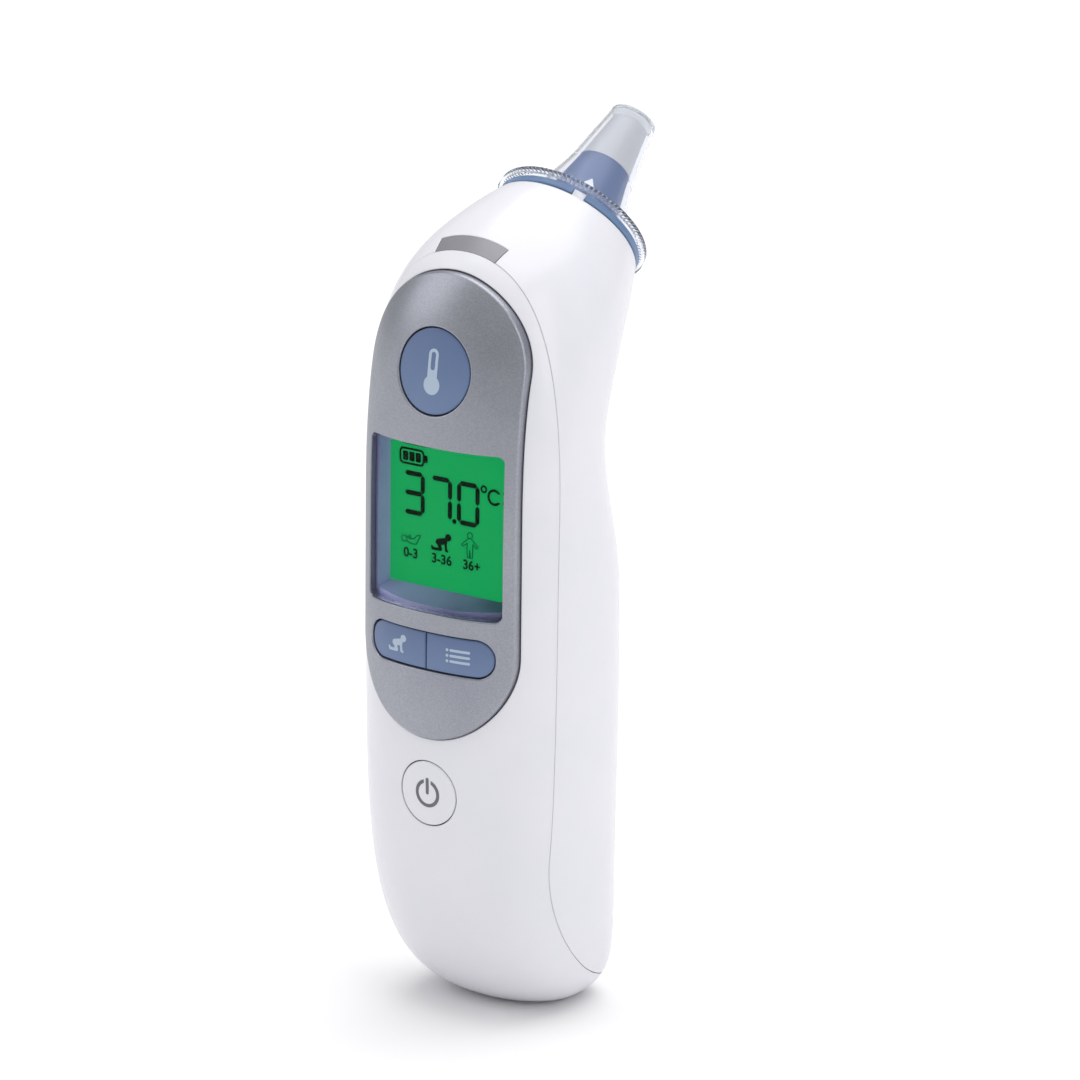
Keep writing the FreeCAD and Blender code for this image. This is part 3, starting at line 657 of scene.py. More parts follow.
def lit_display(name, glow, edge, centre, reach):
    """The backlit liquid crystal: an even glow that falls off a little, with the fine grain of the
    diffusing film."""
    material, nodes, links = blank(name)
    place = nodes.new("ShaderNodeTexCoord")
    place.label = "Place on the glass"
    shift = nodes.new("ShaderNodeMapping")
    shift.label = "From the middle of the display"
    round_off = nodes.new("ShaderNodeTexGradient")
    round_off.label = "Falls off from the middle"
    tone = nodes.new("ShaderNodeValToRGB")
    tone.label = "Backlight at the edge and in the middle"
    film = nodes.new("ShaderNodeTexNoise")
    film.label = "Grain of the diffusing film"
    relief = nodes.new("ShaderNodeBump")
    relief.label = "Grain as relief"
    surface = nodes.new("ShaderNodeBsdfPrincipled")
    surface.label = "Lit glass"
    output = nodes.new("ShaderNodeOutputMaterial")
    output.label = "Surface"
    set_out((place,), (shift,), (round_off, film), (tone, relief), (surface,), (output,))
    group(nodes, "Backlight", (shift, round_off, tone))
    group(nodes, "Film", (film, relief))

    shift.inputs["Location"].default_value = tuple(-part / reach for part in centre)
    shift.inputs["Scale"].default_value = (1 / reach, 1 / reach, 1 / reach)
    round_off.gradient_type = "SPHERICAL"
    tone.color_ramp.elements[0].color = (*edge, 1.0)
    tone.color_ramp.elements[1].position = 0.5
    tone.color_ramp.elements[1].color = (*glow, 1.0)
    film.inputs["Scale"].default_value = 3000.0
    relief.inputs["Strength"].default_value = 0.3
    relief.inputs["Distance"].default_value = 0.01 * MM
    surface.inputs["Base Color"].default_value = (0.002, 0.02, 0.006, 1.0)
    surface.inputs["Roughness"].default_value = 0.35
    surface.inputs["Specular IOR Level"].default_value = 0.08
    surface.inputs["Emission Strength"].default_value = 0.95

    links.new(place.outputs["Object"], shift.inputs["Vector"])
    links.new(place.outputs["Object"], film.inputs["Vector"])
    links.new(shift.outputs["Vector"], round_off.inputs["Vector"])
    links.new(round_off.outputs["Fac"], tone.inputs["Fac"])
    links.new(film.outputs["Fac"], relief.inputs["Height"])
    links.new(tone.outputs["Color"], surface.inputs["Emission Color"])
    links.new(relief.outputs["Normal"], surface.inputs["Normal"])
    links.new(surface.outputs["BSDF"], output.inputs["Surface"])
    return material


def drawn_metal(name, colour, gloss=0.28, stretch=(900.0, 900.0, 60.0)):
    """Bare metal with fine drawing lines along one direction and a few dull spots."""
    material, nodes, links = blank(name)
    place = nodes.new("ShaderNodeTexCoord")
    place.label = "Place on the piece"
    along = nodes.new("ShaderNodeMapping")
    along.label = "Lines drawn out along the piece"
    lines = nodes.new("ShaderNodeTexNoise")
    lines.label = "Drawing lines"
    tone = nodes.new("ShaderNodeValToRGB")
    tone.label = "Darker and lighter lines"
    polish = nodes.new("ShaderNodeMapRange")
    polish.label = "Roughness of the lines"
    relief = nodes.new("ShaderNodeBump")
    relief.label = "Lines as relief"
    surface = nodes.new("ShaderNodeBsdfPrincipled")
    surface.label = "Bare metal"
    output = nodes.new("ShaderNodeOutputMaterial")
    output.label = "Surface"
    set_out((place,), (along,), (lines,), (tone, polish, relief), (surface,), (output,))
    group(nodes, "Drawing lines", (along, lines, relief))
    group(nodes, "Colour and polish", (tone, polish))

    along.inputs["Scale"].default_value = stretch
    lines.inputs["Scale"].default_value = 1.0
    lines.inputs["Detail"].default_value = 4.0
    tone.color_ramp.elements[0].position = 0.3
    tone.color_ramp.elements[0].color = (*dimmed(colour, 0.80), 1.0)
    tone.color_ramp.elements[1].position = 0.7
    tone.color_ramp.elements[1].color = (*colour, 1.0)
    polish.inputs["To Min"].default_value = gloss * 0.7
    polish.inputs["To Max"].default_value = gloss * 1.3
    relief.inputs["Strength"].default_value = 0.3
    relief.inputs["Distance"].default_value = 0.01 * MM
    surface.inputs["Metallic"].default_value = 1.0

    links.new(place.outputs["Object"], along.inputs["Vector"])
    links.new(along.outputs["Vector"], lines.inputs["Vector"])
    links.new(lines.outputs["Fac"], tone.inputs["Fac"])
    links.new(lines.outputs["Fac"], polish.inputs["Value"])
    links.new(lines.outputs["Fac"], relief.inputs["Height"])
    links.new(tone.outputs["Color"], surface.inputs["Base Color"])
    links.new(polish.outputs["Result"], surface.inputs["Roughness"])
    links.new(relief.outputs["Normal"], surface.inputs["Normal"])
    links.new(surface.outputs["BSDF"], output.inputs["Surface"])
    return material


def etched_board(name, mask, trace, cell):
    """Solder mask over copper: square-cornered traces show through a green or amber coat."""
    material, nodes, links = blank(name)
    place = nodes.new("ShaderNodeTexCoord")
    place.label = "Place on the board"
    cells = nodes.new("ShaderNodeTexVoronoi")
    cells.label = "Square fields between the traces"
    edges = nodes.new("ShaderNodeValToRGB")
    edges.label = "Mask in the fields, traces along their edges"
    weave = nodes.new("ShaderNodeTexNoise")
    weave.label = "Glass cloth under the mask"
    relief = nodes.new("ShaderNodeBump")
    relief.label = "Cloth as relief"
    surface = nodes.new("ShaderNodeBsdfPrincipled")
    surface.label = "Coated copper"
    output = nodes.new("ShaderNodeOutputMaterial")
    output.label = "Surface"
    set_out((place,), (cells, weave), (edges, relief), (surface,), (output,))
    group(nodes, "Traces", (cells, edges))
    group(nodes, "Cloth", (weave, relief))

    cells.feature = "F2"
    cells.distance = "CHEBYCHEV"
    cells.inputs["Scale"].default_value = cell
    edges.color_ramp.elements[0].position = 0.55
    edges.color_ramp.elements[0].color = (*mask, 1.0)
    edges.color_ramp.elements[1].position = 0.60
    edges.color_ramp.elements[1].color = (*trace, 1.0)
    weave.inputs["Scale"].default_value = 2500.0
    relief.inputs["Strength"].default_value = 0.5
    relief.inputs["Distance"].default_value = 0.02 * MM
    surface.inputs["Roughness"].default_value = 0.35
    surface.inputs["Coat Weight"].default_value = 0.4

    links.new(place.outputs["Object"], cells.inputs["Vector"])
    links.new(place.outputs["Object"], weave.inputs["Vector"])
    links.new(cells.outputs["Distance"], edges.inputs["Fac"])
    links.new(weave.outputs["Fac"], relief.inputs["Height"])
    links.new(edges.outputs["Color"], surface.inputs["Base Color"])
    links.new(relief.outputs["Normal"], surface.inputs["Normal"])
    links.new(surface.outputs["BSDF"], output.inputs["Surface"])
    return material


def cell_jacket(name, node, nub_up):
    """A printed battery jacket: a dark body, a thin pale line, a blue-green band towards the plus
    end, and bare steel past the jacket at both ends."""
    low, high = (corner.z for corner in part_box(node))
    foot, top = (low, high) if nub_up else (high, low)
    material, nodes, links = blank(name)
    place = nodes.new("ShaderNodeTexCoord")
    place.label = "Place on the cell"
    split = nodes.new("ShaderNodeSeparateXYZ")
    split.label = "Height on the cell"
    share = nodes.new("ShaderNodeMapRange")
    share.label = "From the minus to the plus end"
    print_bands = nodes.new("ShaderNodeValToRGB")
    print_bands.label = "Steel, jacket, band, steel"
    bare = nodes.new("ShaderNodeValToRGB")
    bare.label = "Where the steel is bare"
    foil = nodes.new("ShaderNodeTexNoise")
    foil.label = "Wrinkles of the foil"
    relief = nodes.new("ShaderNodeBump")
    relief.label = "Wrinkles as relief"
    surface = nodes.new("ShaderNodeBsdfPrincipled")
    surface.label = "Printed foil"
    output = nodes.new("ShaderNodeOutputMaterial")
    output.label = "Surface"
    set_out((place,), (split,), (share, foil), (print_bands, bare, relief), (surface,), (output,))
    group(nodes, "Print", (split, share, print_bands, bare))
    group(nodes, "Foil", (foil, relief))

    share.inputs["From Min"].default_value = foot
    share.inputs["From Max"].default_value = top
    stops = [(0.0, (0.62, 0.62, 0.63)), (0.012, (0.10, 0.12, 0.17)), (0.70, (0.62, 0.66, 0.72)),
             (0.715, (0.16, 0.34, 0.42)), (0.955, (0.62, 0.62, 0.63))]
    ramp = print_bands.color_ramp
    ramp.interpolation = "CONSTANT"
    ramp.elements[0].color = (*stops[0][1], 1.0)
    ramp.elements[1].position = stops[1][0]
    ramp.elements[1].color = (*stops[1][1], 1.0)
    for position, colour in stops[2:]:
        ramp.elements.new(position).color = (*colour, 1.0)
    steel = bare.color_ramp
    steel.interpolation = "CONSTANT"
    steel.elements[0].color = (1.0, 1.0, 1.0, 1.0)
    steel.elements[1].position = stops[1][0]
    steel.elements[1].color = (0.15, 0.15, 0.15, 1.0)
    steel.elements.new(stops[-1][0]).color = (1.0, 1.0, 1.0, 1.0)
    foil.inputs["Scale"].default_value = 700.0
    relief.inputs["Strength"].default_value = 0.2
    relief.inputs["Distance"].default_value = 0.03 * MM
    surface.inputs["Roughness"].default_value = 0.26

    links.new(place.outputs["Object"], split.inputs["Vector"])
    links.new(place.outputs["Object"], foil.inputs["Vector"])
    links.new(split.outputs["Z"], share.inputs["Value"])
    links.new(share.outputs["Result"], print_bands.inputs["Fac"])
    links.new(share.outputs["Result"], bare.inputs["Fac"])
    links.new(foil.outputs["Fac"], relief.inputs["Height"])
    links.new(print_bands.outputs["Color"], surface.inputs["Base Color"])
    links.new(bare.outputs["Color"], surface.inputs["Metallic"])
    links.new(relief.outputs["Normal"], surface.inputs["Normal"])
    links.new(surface.outputs["BSDF"], output.inputs["Surface"])
    return material


def studio_paint(name, colour):
    """Matt paint for the floor, with a very faint mottle."""
    material, nodes, links = blank(name)
    place = nodes.new("ShaderNodeTexCoord")
    place.label = "Place on the floor"
    mottle = nodes.new("ShaderNodeTexNoise")
    mottle.label = "Mottle of the roller"
    tone = nodes.new("ShaderNodeValToRGB")
    tone.label = "Paint, thin and thick"
    surface = nodes.new("ShaderNodeBsdfPrincipled")
    surface.label = "Matt paint"
    output = nodes.new("ShaderNodeOutputMaterial")
    output.label = "Surface"
    set_out((place,), (mottle,), (tone,), (surface,), (output,))
    group(nodes, "Paint", (mottle, tone))

    mottle.inputs["Scale"].default_value = 3.0
    tone.color_ramp.elements[0].color = (*dimmed(colour, 0.995), 1.0)
    tone.color_ramp.elements[1].color = (*colour, 1.0)
    surface.inputs["Roughness"].default_value = 0.85
    surface.inputs["Specular IOR Level"].default_value = 0.1

    links.new(place.outputs["Object"], mottle.inputs["Vector"])
    links.new(mottle.outputs["Fac"], tone.inputs["Fac"])
    links.new(tone.outputs["Color"], surface.inputs["Base Color"])
    links.new(surface.outputs["BSDF"], output.inputs["Surface"])
    return material


def coated(material, *names):
    """Gives CAD nodes their finish."""
    for name in names:
        if not NODES[name].material_slots:
            raise RuntimeError(f"{name} has no material slot")
        for holder in NODES[name].material_slots:
            holder.material = material


# ---------------------------------------------------------------- signs
def crawling_child(wide):
    """A child who crawls to the right on hands and knees, drawn about its middle."""
    unit = wide / 4.2
    # Trunk, thigh, shin, foot, arm and hand: from, to and thickness.
    limbs = [
        ((-0.55, 0.10), (0.72, 0.42), 1.15),
        ((-0.55, 0.00), (-0.12, -1.00), 0.72),
        ((-0.12, -1.15), (-1.75, -1.20), 0.52),
        ((-1.72, -1.15), (-1.90, -0.86), 0.42),
        ((0.90, 0.30), (1.02, -1.10), 0.50),
        ((1.02, -1.15), (1.30, -1.22), 0.42),
    ]
    parts = []
    for start, end, thick in limbs:
        start, end = (tuple(part * unit for part in spot) for spot in (start, end))
        parts.append(stroke(start, end, thick * unit))
    head = disc(0.64 * unit, 1.46 * unit, 1.16 * unit)
    return welded([*parts, head])


def outlined(lines, ring_at, ring):
    """A thin outlined figure: a ring for its head and strokes for the rest, in millimetres."""
    line = 0.17
    parts = [disc(ring * MM, ring_at[0] * MM, ring_at[1] * MM, 32, (ring - line) * MM)]
    for points in lines:
        for start, end in zip(points, points[1:]):
            start, end = (tuple(part * MM for part in spot) for spot in (start, end))
            parts.append(stroke(start, end, line * MM, 3))
    return welded(parts)


def lying_baby():
    """A baby on its back with its head to the left."""
    lines = [
        [(-0.98, 0.42), (-0.30, 0.10), (0.55, 0.22), (1.15, 0.92), (1.95, 1.05), (1.45, 0.10)],
        [(-0.98, -0.42), (0.20, -0.72), (1.05, -0.62), (1.45, 0.10)],
        [(-0.62, 0.25), (-0.35, 0.85), (-0.05, 0.12)],
    ]
    return outlined(lines, (-1.55, 0.0), 0.64)


def standing_child():
    """A child who stands with the arms held out and down, the same on both sides."""
    lines = []
    for side in (-1, 1):
        lines.append([(side * 0.36, 1.10), (side * 1.75, -0.05), (side * 1.40, -0.36),
                      (side * 0.58, 0.28), (side * 0.62, -0.75), (side * 0.50, -2.20),
                      (side * 0.10, -2.20), (0.0, -0.85)])
    return outlined(lines, (0.0, 1.72), 0.60)


def digit(lit, x):
    """One figure of seven segments, of which those in lit are dark."""
    look = settings().display
    half, quarter = look.digit_tall / 2, look.digit_tall / 4
    side = look.digit_wide / 2
    across = look.digit_wide - look.segment_gap
    upright = half - look.segment_gap
    places = {"a": (0, half, 0), "g": (0, 0, 0), "d": (0, -half, 0), "f": (-side, quarter, 1),
              "b": (side, quarter, 1), "e": (-side, -quarter, 1), "c": (side, -quarter, 1)}
    segments = []
    for name in lit:
        along, up, stands = places[name]
        long = upright if stands else across
        segments.append(bar(long, look.digit_line, x + along, up, stands * UPRIGHT, 1, 0.46))
    return segments


def on_glass(pieces, name, across, up, material):
    """Lays flat signs on the front of the display's glass. Their place is given from the middle of
    the lit area, in shares of its width and height."""
    look = settings().display
    glass = middle("lcd_glass")
    low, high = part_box("lcd_glass")
    x = glass.x + across * (high.x - low.x - 2 * look.margin)
    z = glass.z + up * (high.z - low.z - 2 * look.margin)
    piece = joined(pieces)
    thin = Matrix.Diagonal((1, 1, look.film / DRAWN_THICK, 1))
    settle(piece, Matrix.Translation((x, low.y, z)) @ Matrix.Rotation(UPRIGHT, 4, "X") @ thin)
    finished(piece, name, "handset", material)


def number(text, tall):
    """Figures in a plain type, drawn flat about their middle, a little bolder and broader than the
    type itself."""
    bolder, broader = 0.026 * tall, 1.2
    bpy.ops.object.select_all(action="DESELECT")
    bpy.ops.object.text_add()
    label = bpy.context.object
    label.data.body = text
    label.data.size = tall
    label.data.align_x = "CENTER"
    label.data.align_y = "CENTER"
    label.data.offset = bolder
    label.scale = (broader, 1.0, 1.0)
    bpy.ops.object.convert(target="MESH")
    label = bpy.context.object
    thicken(label)
    return label


# ---------------------------------------------------------------- operators
class THERMO_OT_housing(bpy.types.Operator):
    """Finish the white housing, its door, the silver panel and the light strip"""
    bl_idname = "thermo.housing"
    bl_label = "Housing and panel"

    def execute(self, context):
        look = settings().housing
        shell = moulded_plastic("White shell plastic", look.shell, look.shell_shade, gloss=0.24,
                                soft=0.05)
        coated(shell, "front_housing", "rear_housing", "battery_door", "power_button")
        coated(silver_lacquer("Silver panel lacquer", look.panel, look.panel_shade),
               "control_panel")
        # Painted shade: the light strip darkens from its right end to its left end.
        low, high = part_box("light_pipe")
        strip = painted_shade_plastic("Light strip plastic with painted shade", look.strip_painted_shade, look.strip, low.x, high.x,
                               gloss=0.30, axis="X")
        coated(strip, "light_pipe")
        shaft_wide, shaft_long, shaft_at, head_radius = 2.0 * MM, 3.6 * MM, -2.9 * MM, 3.2 * MM
        arrow = bar(shaft_wide, shaft_long, 0, shaft_at, corner=0.02)
        combine(arrow, disc(head_radius, steps=3))
        low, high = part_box("battery_door")
        up = low.z + 19 * MM
        printed(arrow, "battery_door", low.x / 2 + high.x / 2, up, back=True, ink=0.25 * MM)
        # The door print uses the strip's two greys only as its random cloud tones.
        print_grey = moulded_plastic("Grey door print", look.strip, look.strip_painted_shade, gloss=0.45)
        finished(arrow, "door_arrow", "door", print_grey)
        return {"FINISHED"}


class THERMO_OT_keys(bpy.types.Operator):
    """Finish the three blue keys"""
    bl_idname = "thermo.keys"
    bl_label = "Keys"

    def execute(self, context):
        look = settings().keys
        for name in ("start_button", "age_button", "memory_button"):
            low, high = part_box(name)
            # Painted light and shade: each key runs from lit blue at its foot to shaded blue at its top.
            blue = painted_shade_plastic(f"Blue plastic with painted shade of {name}", look.low, look.high, low.z, high.z)
            coated(blue, name)
        return {"FINISHED"}


class THERMO_OT_key_signs(bpy.types.Operator):
    """Print the signs on the keys: thermometer, crawling child, stacked lines and power"""
    bl_idname = "thermo.key_signs"
    bl_label = "Key signs"

    def execute(self, context):
        look = settings().keys
        pale = moulded_plastic("Pale key ink", look.sign, dimmed(look.sign, 0.93), gloss=0.5,
                               grain=7000)
        grey = moulded_plastic("Grey key ink", look.power, dimmed(look.power, 0.9), gloss=0.5,
                               grain=7000)
        half, bulb, stem = look.start_tall / 2, look.bulb_wide / 2, look.stem_wide
        foot = (0, bulb - half)
        head = (0, half - stem / 2)
        start = welded([stroke(foot, head, stem), disc(bulb, 0, bulb - half)])
        slot = stem - 2 * look.line
        combine(start, stroke((0, slot / 2 + 0.035 * look.start_tall), head, slot), "DIFFERENCE")
        age = crawling_child(look.age_wide)
        dot, dot_at = 0.27 * MM, -0.5 * look.list_wide + 0.3 * MM
        row_line, row_from, row_to = 0.46 * MM, -0.28 * look.list_wide, 0.46 * look.list_wide
        rows = []
        for row in (-1, 0, 1):
            up = row * look.list_tall * 0.39
            rows.append(disc(dot, dot_at, up, 20))
            rows.append(stroke((row_from, up), (row_to, up), row_line))
        stack = joined(rows)
        outer, line = look.power_wide / 2, look.power_line
        power = disc(outer, steps=72, hole=outer - line)
        combine(power, bar(2.4 * line, outer, 0, outer, corner=0.05), "DIFFERENCE")
        combine(power, stroke((0, 0.05 * outer), (0, outer), line))
        for piece, name, switch, body, node, material in (
                (start, "start_sign", "start_switch_plunger", "start_key", "start_button", pale),
                (age, "age_sign", "age_switch_plunger", "age_key", "age_button", pale),
                (stack, "list_sign", "memory_switch_plunger", "memory_key", "memory_button", pale),
                (power, "power_sign", "power_switch_plunger", "power_key", "power_button", grey)):
            spot = middle(switch)
            printed(piece, node, spot.x, spot.z)
            finished(piece, name, body, material)
        return {"FINISHED"}


class THERMO_OT_display(bpy.types.Operator):
    """Finish the display's glass, well and window"""
    bl_idname = "thermo.display"
    bl_label = "Display"

    def execute(self, context):
        look = settings().display
        glass = middle("lcd_glass")
        glow = lit_display("Backlit green glass", look.glow, look.glow_edge, glass, 25 * MM)
        coated(glow, "lcd_glass")
        # Painted shade: the well darkens from its left end to its right end.
        low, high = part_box("display_frame")
        well = painted_shade_plastic("Blue well plastic with painted shade", look.well, look.well_painted_shade, low.x, high.x,
                              gloss=0.22, axis="X")
        coated(well, "display_frame")
        pane = clear_plastic("Clear window plastic", (0.97, 0.98, 1.0), gloss=0.01, ripple=60,
                             depth=0.002, bend=1.08)
        coated(pane, "display_window")
        return {"FINISHED"}


class THERMO_OT_segments(bpy.types.Operator):
    """Lay the lit segments on the glass: battery gauge, temperature, degree sign and ages"""
    bl_idname = "thermo.segments"
    bl_label = "Display segments"

    def execute(self, context):
        look = settings().display
        dark = moulded_plastic("Dark segment ink", look.ink, look.ink, gloss=0.5, bend=1.1)
        faint = moulded_plastic("Faint segment ink", (0.0, 0.06, 0.02), (0.0, 0.05, 0.018),
                                gloss=0.5, bend=1.1)

        wide, tall, line = 5.3 * MM, 3.0 * MM, 0.4 * MM
        nub_wide, nub_tall = 0.9 * MM, 1.3 * MM
        level_wide, level_tall, level_pitch = 1.12 * MM, 1.65 * MM, 1.34 * MM
        gauge = bar(wide, tall, corner=0.28)
        combine(gauge, bar(wide - 2 * line, tall - 2 * line, corner=0.22), "DIFFERENCE")
        parts = [combine(gauge, bar(nub_wide, nub_tall, 2.9 * MM, 0, corner=0.3))]
        for k in (-1, 0, 1):
            parts.append(bar(level_wide, level_tall, k * level_pitch, 0, corner=0.18))
        on_glass(parts, "battery_gauge", -0.325, 0.365, dark)

        # The temperature reads 37.0, with its point before the last figure.
        segments = []
        for place, lit in enumerate(("abcdg", "abc", "abcdef")):
            segments += digit(lit, place * look.digit_pitch)
        point, point_up = look.digit_line / 2, -look.digit_tall / 2 - 0.1 * MM
        segments.append(disc(point, 1.5 * look.digit_pitch, point_up, 20))
        on_glass(segments, "temperature_digits", -0.308, 0.118, dark)

        degree_out, degree_in, degree_at = 0.70 * MM, 0.34 * MM, (-1.55 * MM, 1.10 * MM)
        letter_out, letter_in, letter_at = 1.46 * MM, 0.98 * MM, (0.66 * MM, 0)
        mouth_long, mouth_tall, mouth_at = 1.80 * MM, 1.45 * MM, (1.80 * MM, 0)
        degree = disc(degree_out, *degree_at, 32, degree_in)
        celsius = disc(letter_out, *letter_at, 48, letter_in)
        combine(celsius, bar(mouth_long, mouth_tall, *mouth_at, corner=0.05), "DIFFERENCE")
        on_glass([degree, celsius], "degree_sign", 0.338, 0.200, dark)

        on_glass([crawling_child(4.3 * MM)], "age_middle", -0.075, -0.185, dark)
        on_glass([lying_baby()], "age_youngest", -0.325, -0.205, faint)
        on_glass([standing_child()], "age_oldest", 0.165, -0.160, faint)
        for text, name, across in (("0-3", "months_youngest", -0.33),
                                   ("3-36", "months_middle", -0.07),
                                   ("36+", "months_oldest", 0.18)):
            on_glass([number(text, look.label_tall)], name, across, -0.300, dark)
        return {"FINISHED"}


class THERMO_OT_head(bpy.types.Operator):
    """Finish the ejector ring, the probe, the pin and the clear lens filter"""
    bl_idname = "thermo.head"
    bl_label = "Head"

    def execute(self, context):
        look = settings().head
        coated(moulded_plastic("Blue ring plastic", look.collar, look.collar_shade, gloss=0.34),
               "ejector_collar")
        coated(moulded_plastic("Blue cone plastic", look.cone, look.cone_shade, gloss=0.30),
               "probe_cone")
        coated(moulded_plastic("Pale tip plastic", look.tip, dimmed(look.tip, 0.95), gloss=0.32),
               "probe_tip")
        coated(moulded_plastic("White pin plastic", (0.80, 0.80, 0.84), (0.76, 0.76, 0.80)),
               "filter_detector")
        clear = clear_plastic("Clear filter plastic", look.clear, gloss=0.05, depth=0.01,
                              bend=1.14, frost=0.05)
        coated(clear, "lens_filter")
        frosted = clear_plastic("Stretched film", look.clear, gloss=0.10, ripple=900, depth=0.08,
                                bend=1.25, frost=0.3)
        coated(frosted, "filter_film")

        turn, lean, proud = math.radians(34), math.radians(15), 0.3 * MM
        arrow = disc(look.arrow_wide / 2, steps=3)
        settle(arrow, on_head(look.arrow_up, look.arrow_out, turn, lean)
               @ Matrix.Diagonal((1, 1, proud / DRAWN_THICK, 1)))
        raised = moulded_plastic("Raised filter plastic", (0.66, 0.70, 0.80), (0.60, 0.64, 0.76),
                                 gloss=0.25)
        finished(arrow, "filter_arrow", "filter", raised)
        return {"FINISHED"}


class THERMO_OT_filter_ribs(bpy.types.Operator):
    """Raise the fine grip ribs round the filter's brim and crimp the film round its end"""
    bl_idname = "thermo.filter_ribs"
    bl_label = "Filter ribs and film edge"

    def execute(self, context):
        look = settings().head
        raised = bpy.data.materials["Raised filter plastic"]
        brim_up, brim_out, rib_wide, proud = 2.88 * MM, 13.0 * MM, 0.30 * MM, 0.05 * MM
        pattern = bar(look.rib_long, rib_wide, turn=UPRIGHT, steps=1, corner=0.3)
        ribs = []
        for k in range(look.rib_count):
            rib = pattern.copy()
            rib.data = pattern.data.copy()
            context.collection.objects.link(rib)
            turn = 2 * math.pi * k / look.rib_count
            settle(rib, on_head(brim_up, brim_out, turn, UPRIGHT)
                   @ Matrix.Diagonal((1, 1, proud / DRAWN_THICK, 1)))
            ribs.append(rib)
        bpy.data.objects.remove(pattern)
        finished(joined(ribs), "filter_ribs", "filter", raised)

        folds, end_up, end_out, bead = 24, 25.55 * MM, 3.95 * MM, 0.24 * MM
        bpy.ops.object.select_all(action="DESELECT")
        bpy.ops.mesh.primitive_torus_add(major_radius=end_out, minor_radius=bead,
                                         major_segments=2 * folds, minor_segments=8)
        crimp = context.object
        open_mesh(crimp, "VERT")
        bpy.ops.mesh.select_all(action="DESELECT")
        close_mesh()
        for corner in crimp.data.vertices:
            place = math.atan2(corner.co.y, corner.co.x) / (2 * math.pi) * 2 * folds
            corner.select = round(place) % 2 == 0
        bpy.ops.object.mode_set(mode="EDIT")
        flare, stretch = 1.035, 1.5
        bpy.ops.transform.resize(value=(flare, flare, stretch), center_override=(0, 0, 0))
        close_mesh()
        smooth = crimp.modifiers.new("Soft folds", "SUBSURF")
        smooth.levels = 1
        smooth.render_levels = 1
        alone(crimp)
        bpy.ops.object.modifier_apply(modifier=smooth.name)
        settle(crimp, on_head(end_up, 0, 0, UPRIGHT))
        film = bpy.data.materials["Stretched film"]
        finished(crimp, "film_crimp", "filter", film)
        return {"FINISHED"}


class THERMO_OT_inside(bpy.types.Operator):
    """Finish the board, its parts, the sensor and the battery bay"""
    bl_idname = "thermo.inside"
    bl_label = "Inside"

    def execute(self, context):
        steel = drawn_metal("Spring steel", (0.62, 0.62, 0.63))
        coated(steel, "ejector_spring", "contact_springs", "contact_plates", "board_screws",
               "housing_screws")
        coated(drawn_metal("Sensor can metal", (0.70, 0.70, 0.70), gloss=0.18), "sensor_can")
        turned = drawn_metal("Turned aluminium", (0.75, 0.75, 0.76), gloss=0.3,
                             stretch=(60, 60, 1500))
        coated(turned, "sensor_sleeve")
        silicon = drawn_metal("Sensor window silicon", (0.22, 0.20, 0.26), gloss=0.12)
        coated(silicon, "sensor_window")
        coated(etched_board("Green solder mask", (0.012, 0.10, 0.04), (0.03, 0.20, 0.08), 260),
               "main_board")
        coated(etched_board("Amber flat tail", (0.36, 0.16, 0.03), (0.52, 0.28, 0.08), 700),
               "sensor_flex")
        for name, colour, shade, gloss, nodes in (
                ("Black chip resin", (0.022, 0.022, 0.026), (0.03, 0.03, 0.033), 0.5,
                 ("controller_chips", "buzzer", "flex_connector")),
                ("White bracket plastic", (0.74, 0.75, 0.76), (0.68, 0.69, 0.71), 0.4,
                 ("battery_tray", "lcd_holder", "probe_holder")),
                ("Grey switch plastic", (0.16, 0.16, 0.17), (0.13, 0.13, 0.14), 0.4,
                 ("switch_bodies", "zebra_strip")),
                ("Plunger plastic", (0.42, 0.43, 0.46), (0.38, 0.39, 0.42), 0.35,
                 ("start_switch_plunger", "age_switch_plunger", "memory_switch_plunger",
                  "power_switch_plunger"))):
            coated(moulded_plastic(name, colour, shade, gloss), *nodes)
        guide = clear_plastic("Diffusing guide plastic", (0.85, 0.95, 0.88), gloss=0.3, frost=0.5)
        coated(guide, "backlight_guide")
        resin = clear_plastic("Lamp resin", (0.95, 0.95, 0.85), gloss=0.15, frost=0.3)
        coated(resin, "backlight_leds", "signal_leds")
        coated(cell_jacket("Left cell jacket", "battery_left", True), "battery_left")
        coated(cell_jacket("Right cell jacket", "battery_right", False), "battery_right")
        return {"FINISHED"}


# Name, place, width and height in metres, and power in watts.
SOFTBOXES = (("left_softbox", (-0.95, -0.75, 0.75), 0.7, 1.1, 4.0),
             ("right_softbox", (1.1, -0.25, 0.6), 0.6, 1.1, 3.6),
             ("top_softbox", (0.0, 0.6, 2.5), 3.0, 3.0, 62.0))


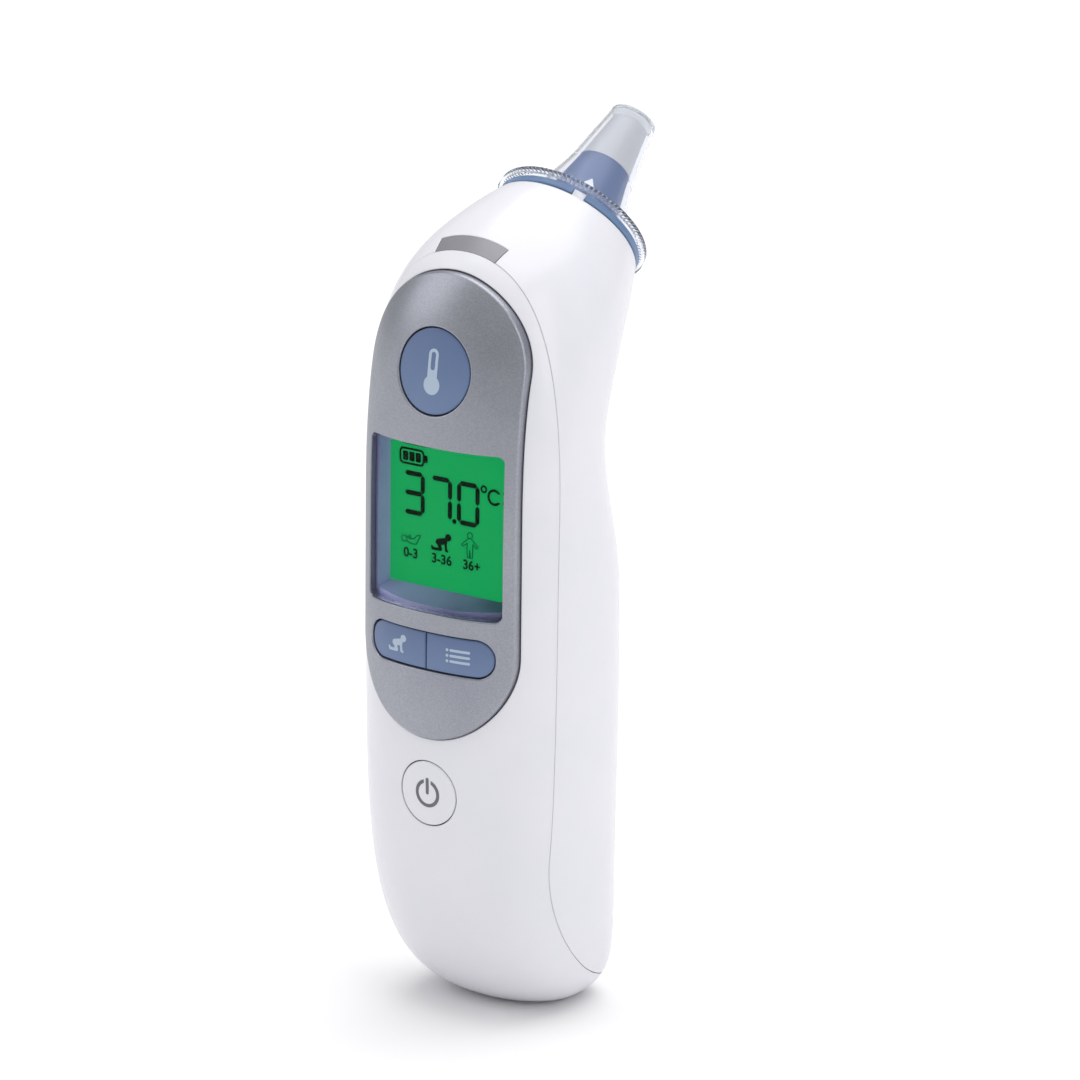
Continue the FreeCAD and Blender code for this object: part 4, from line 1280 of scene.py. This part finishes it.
class THERMO_OT_stage(bpy.types.Operator):
    """Set up the pale floor, the soft studio light and the camera"""
    bl_idname = "thermo.stage"
    bl_label = "Studio"

    def execute(self, context):
        studio = settings().studio
        scene = context.scene
        bpy.ops.object.select_all(action="DESELECT")
        bpy.ops.mesh.primitive_circle_add(vertices=96, radius=studio.floor_wide / 2,
                                          fill_type="NGON")
        floor = context.object
        floor.name = "studio_floor"
        edge = 40 * MM
        open_mesh(floor)
        bpy.ops.mesh.inset(thickness=edge)
        close_mesh()
        floor.data.materials.append(studio_paint("Pale floor paint", studio.floor))

        world = bpy.data.worlds.new("Even daylight")
        world.use_nodes = True
        sky = world.node_tree.nodes["Background"]
        sky.inputs["Color"].default_value = (*studio.backdrop, 1.0)
        sky.inputs["Strength"].default_value = studio.daylight
        scene.world = world
        scene.view_settings.view_transform = "Standard"

        middle_up = Vector((0, 0, studio.aim_up))
        for name, spot, wide, tall, watts in SOFTBOXES:
            away = middle_up - Vector(spot)
            bpy.ops.object.light_add(type="AREA", location=spot,
                                     rotation=away.to_track_quat("-Z", "Y").to_euler())
            lamp = context.object
            lamp.name = name
            lamp.data.shape = "RECTANGLE"
            lamp.data.size = wide
            lamp.data.size_y = tall
            lamp.data.energy = watts

        turn, rise, roll = studio.azimuth, studio.elevation, studio.roll
        back = Vector((math.sin(turn) * math.cos(rise), -math.cos(turn) * math.cos(rise),
                       math.sin(rise)))
        level = Vector((math.cos(turn), math.sin(turn), 0))
        steep = back.cross(level)
        right = level * math.cos(roll) + steep * math.sin(roll)
        above = steep * math.cos(roll) - level * math.sin(roll)
        seat = Matrix((right, above, back)).transposed()
        aim = Vector((0, -studio.aim_back, studio.aim_up))
        spot = aim + back * studio.distance + right * studio.across + above * studio.up
        bpy.ops.object.camera_add(location=spot, rotation=seat.to_euler())
        camera = context.object
        camera.name = "studio_camera"
        camera.data.lens = studio.lens
        camera.data.sensor_width = 36.0
        scene.camera = camera
        return {"FINISHED"}


class THERMO_PT_panel(bpy.types.Panel):
    """The pieces of the thermometer, in the order in which they are made"""
    bl_idname = "THERMO_PT_panel"
    bl_label = "Ear thermometer"
    bl_space_type = "VIEW_3D"
    bl_region_type = "UI"
    bl_category = "Thermometer"

    def draw(self, context):
        for operator in OPERATORS:
            self.layout.operator(operator.bl_idname)
        looks = context.scene.thermometer
        for part in ("housing", "keys", "display", "head", "studio"):
            box = self.layout.box()
            box.label(text=part.title())
            group_of = getattr(looks, part)
            for name in group_of.__annotations__:
                box.prop(group_of, name)


OPERATORS = (THERMO_OT_stage, THERMO_OT_housing, THERMO_OT_keys, THERMO_OT_key_signs,
             THERMO_OT_display, THERMO_OT_segments, THERMO_OT_head, THERMO_OT_filter_ribs,
             THERMO_OT_inside)
GROUPS = (HousingFinish, KeyFinish, DisplayFinish, HeadFinish, StudioSetup, ThermometerSettings)


def register():
    for kind in (*GROUPS, *OPERATORS, THERMO_PT_panel):
        bpy.utils.register_class(kind)
    bpy.types.Scene.thermometer = PointerProperty(type=ThermometerSettings)


def unregister():
    del bpy.types.Scene.thermometer
    for kind in reversed((*GROUPS, *OPERATORS, THERMO_PT_panel)):
        bpy.utils.unregister_class(kind)


def main():
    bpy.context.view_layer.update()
    register()
    bpy.ops.thermo.stage()
    bpy.ops.thermo.housing()
    bpy.ops.thermo.keys()
    bpy.ops.thermo.key_signs()
    bpy.ops.thermo.display()
    bpy.ops.thermo.segments()
    bpy.ops.thermo.head()
    bpy.ops.thermo.filter_ribs()
    bpy.ops.thermo.inside()


if __name__ == "__main__":
    main()
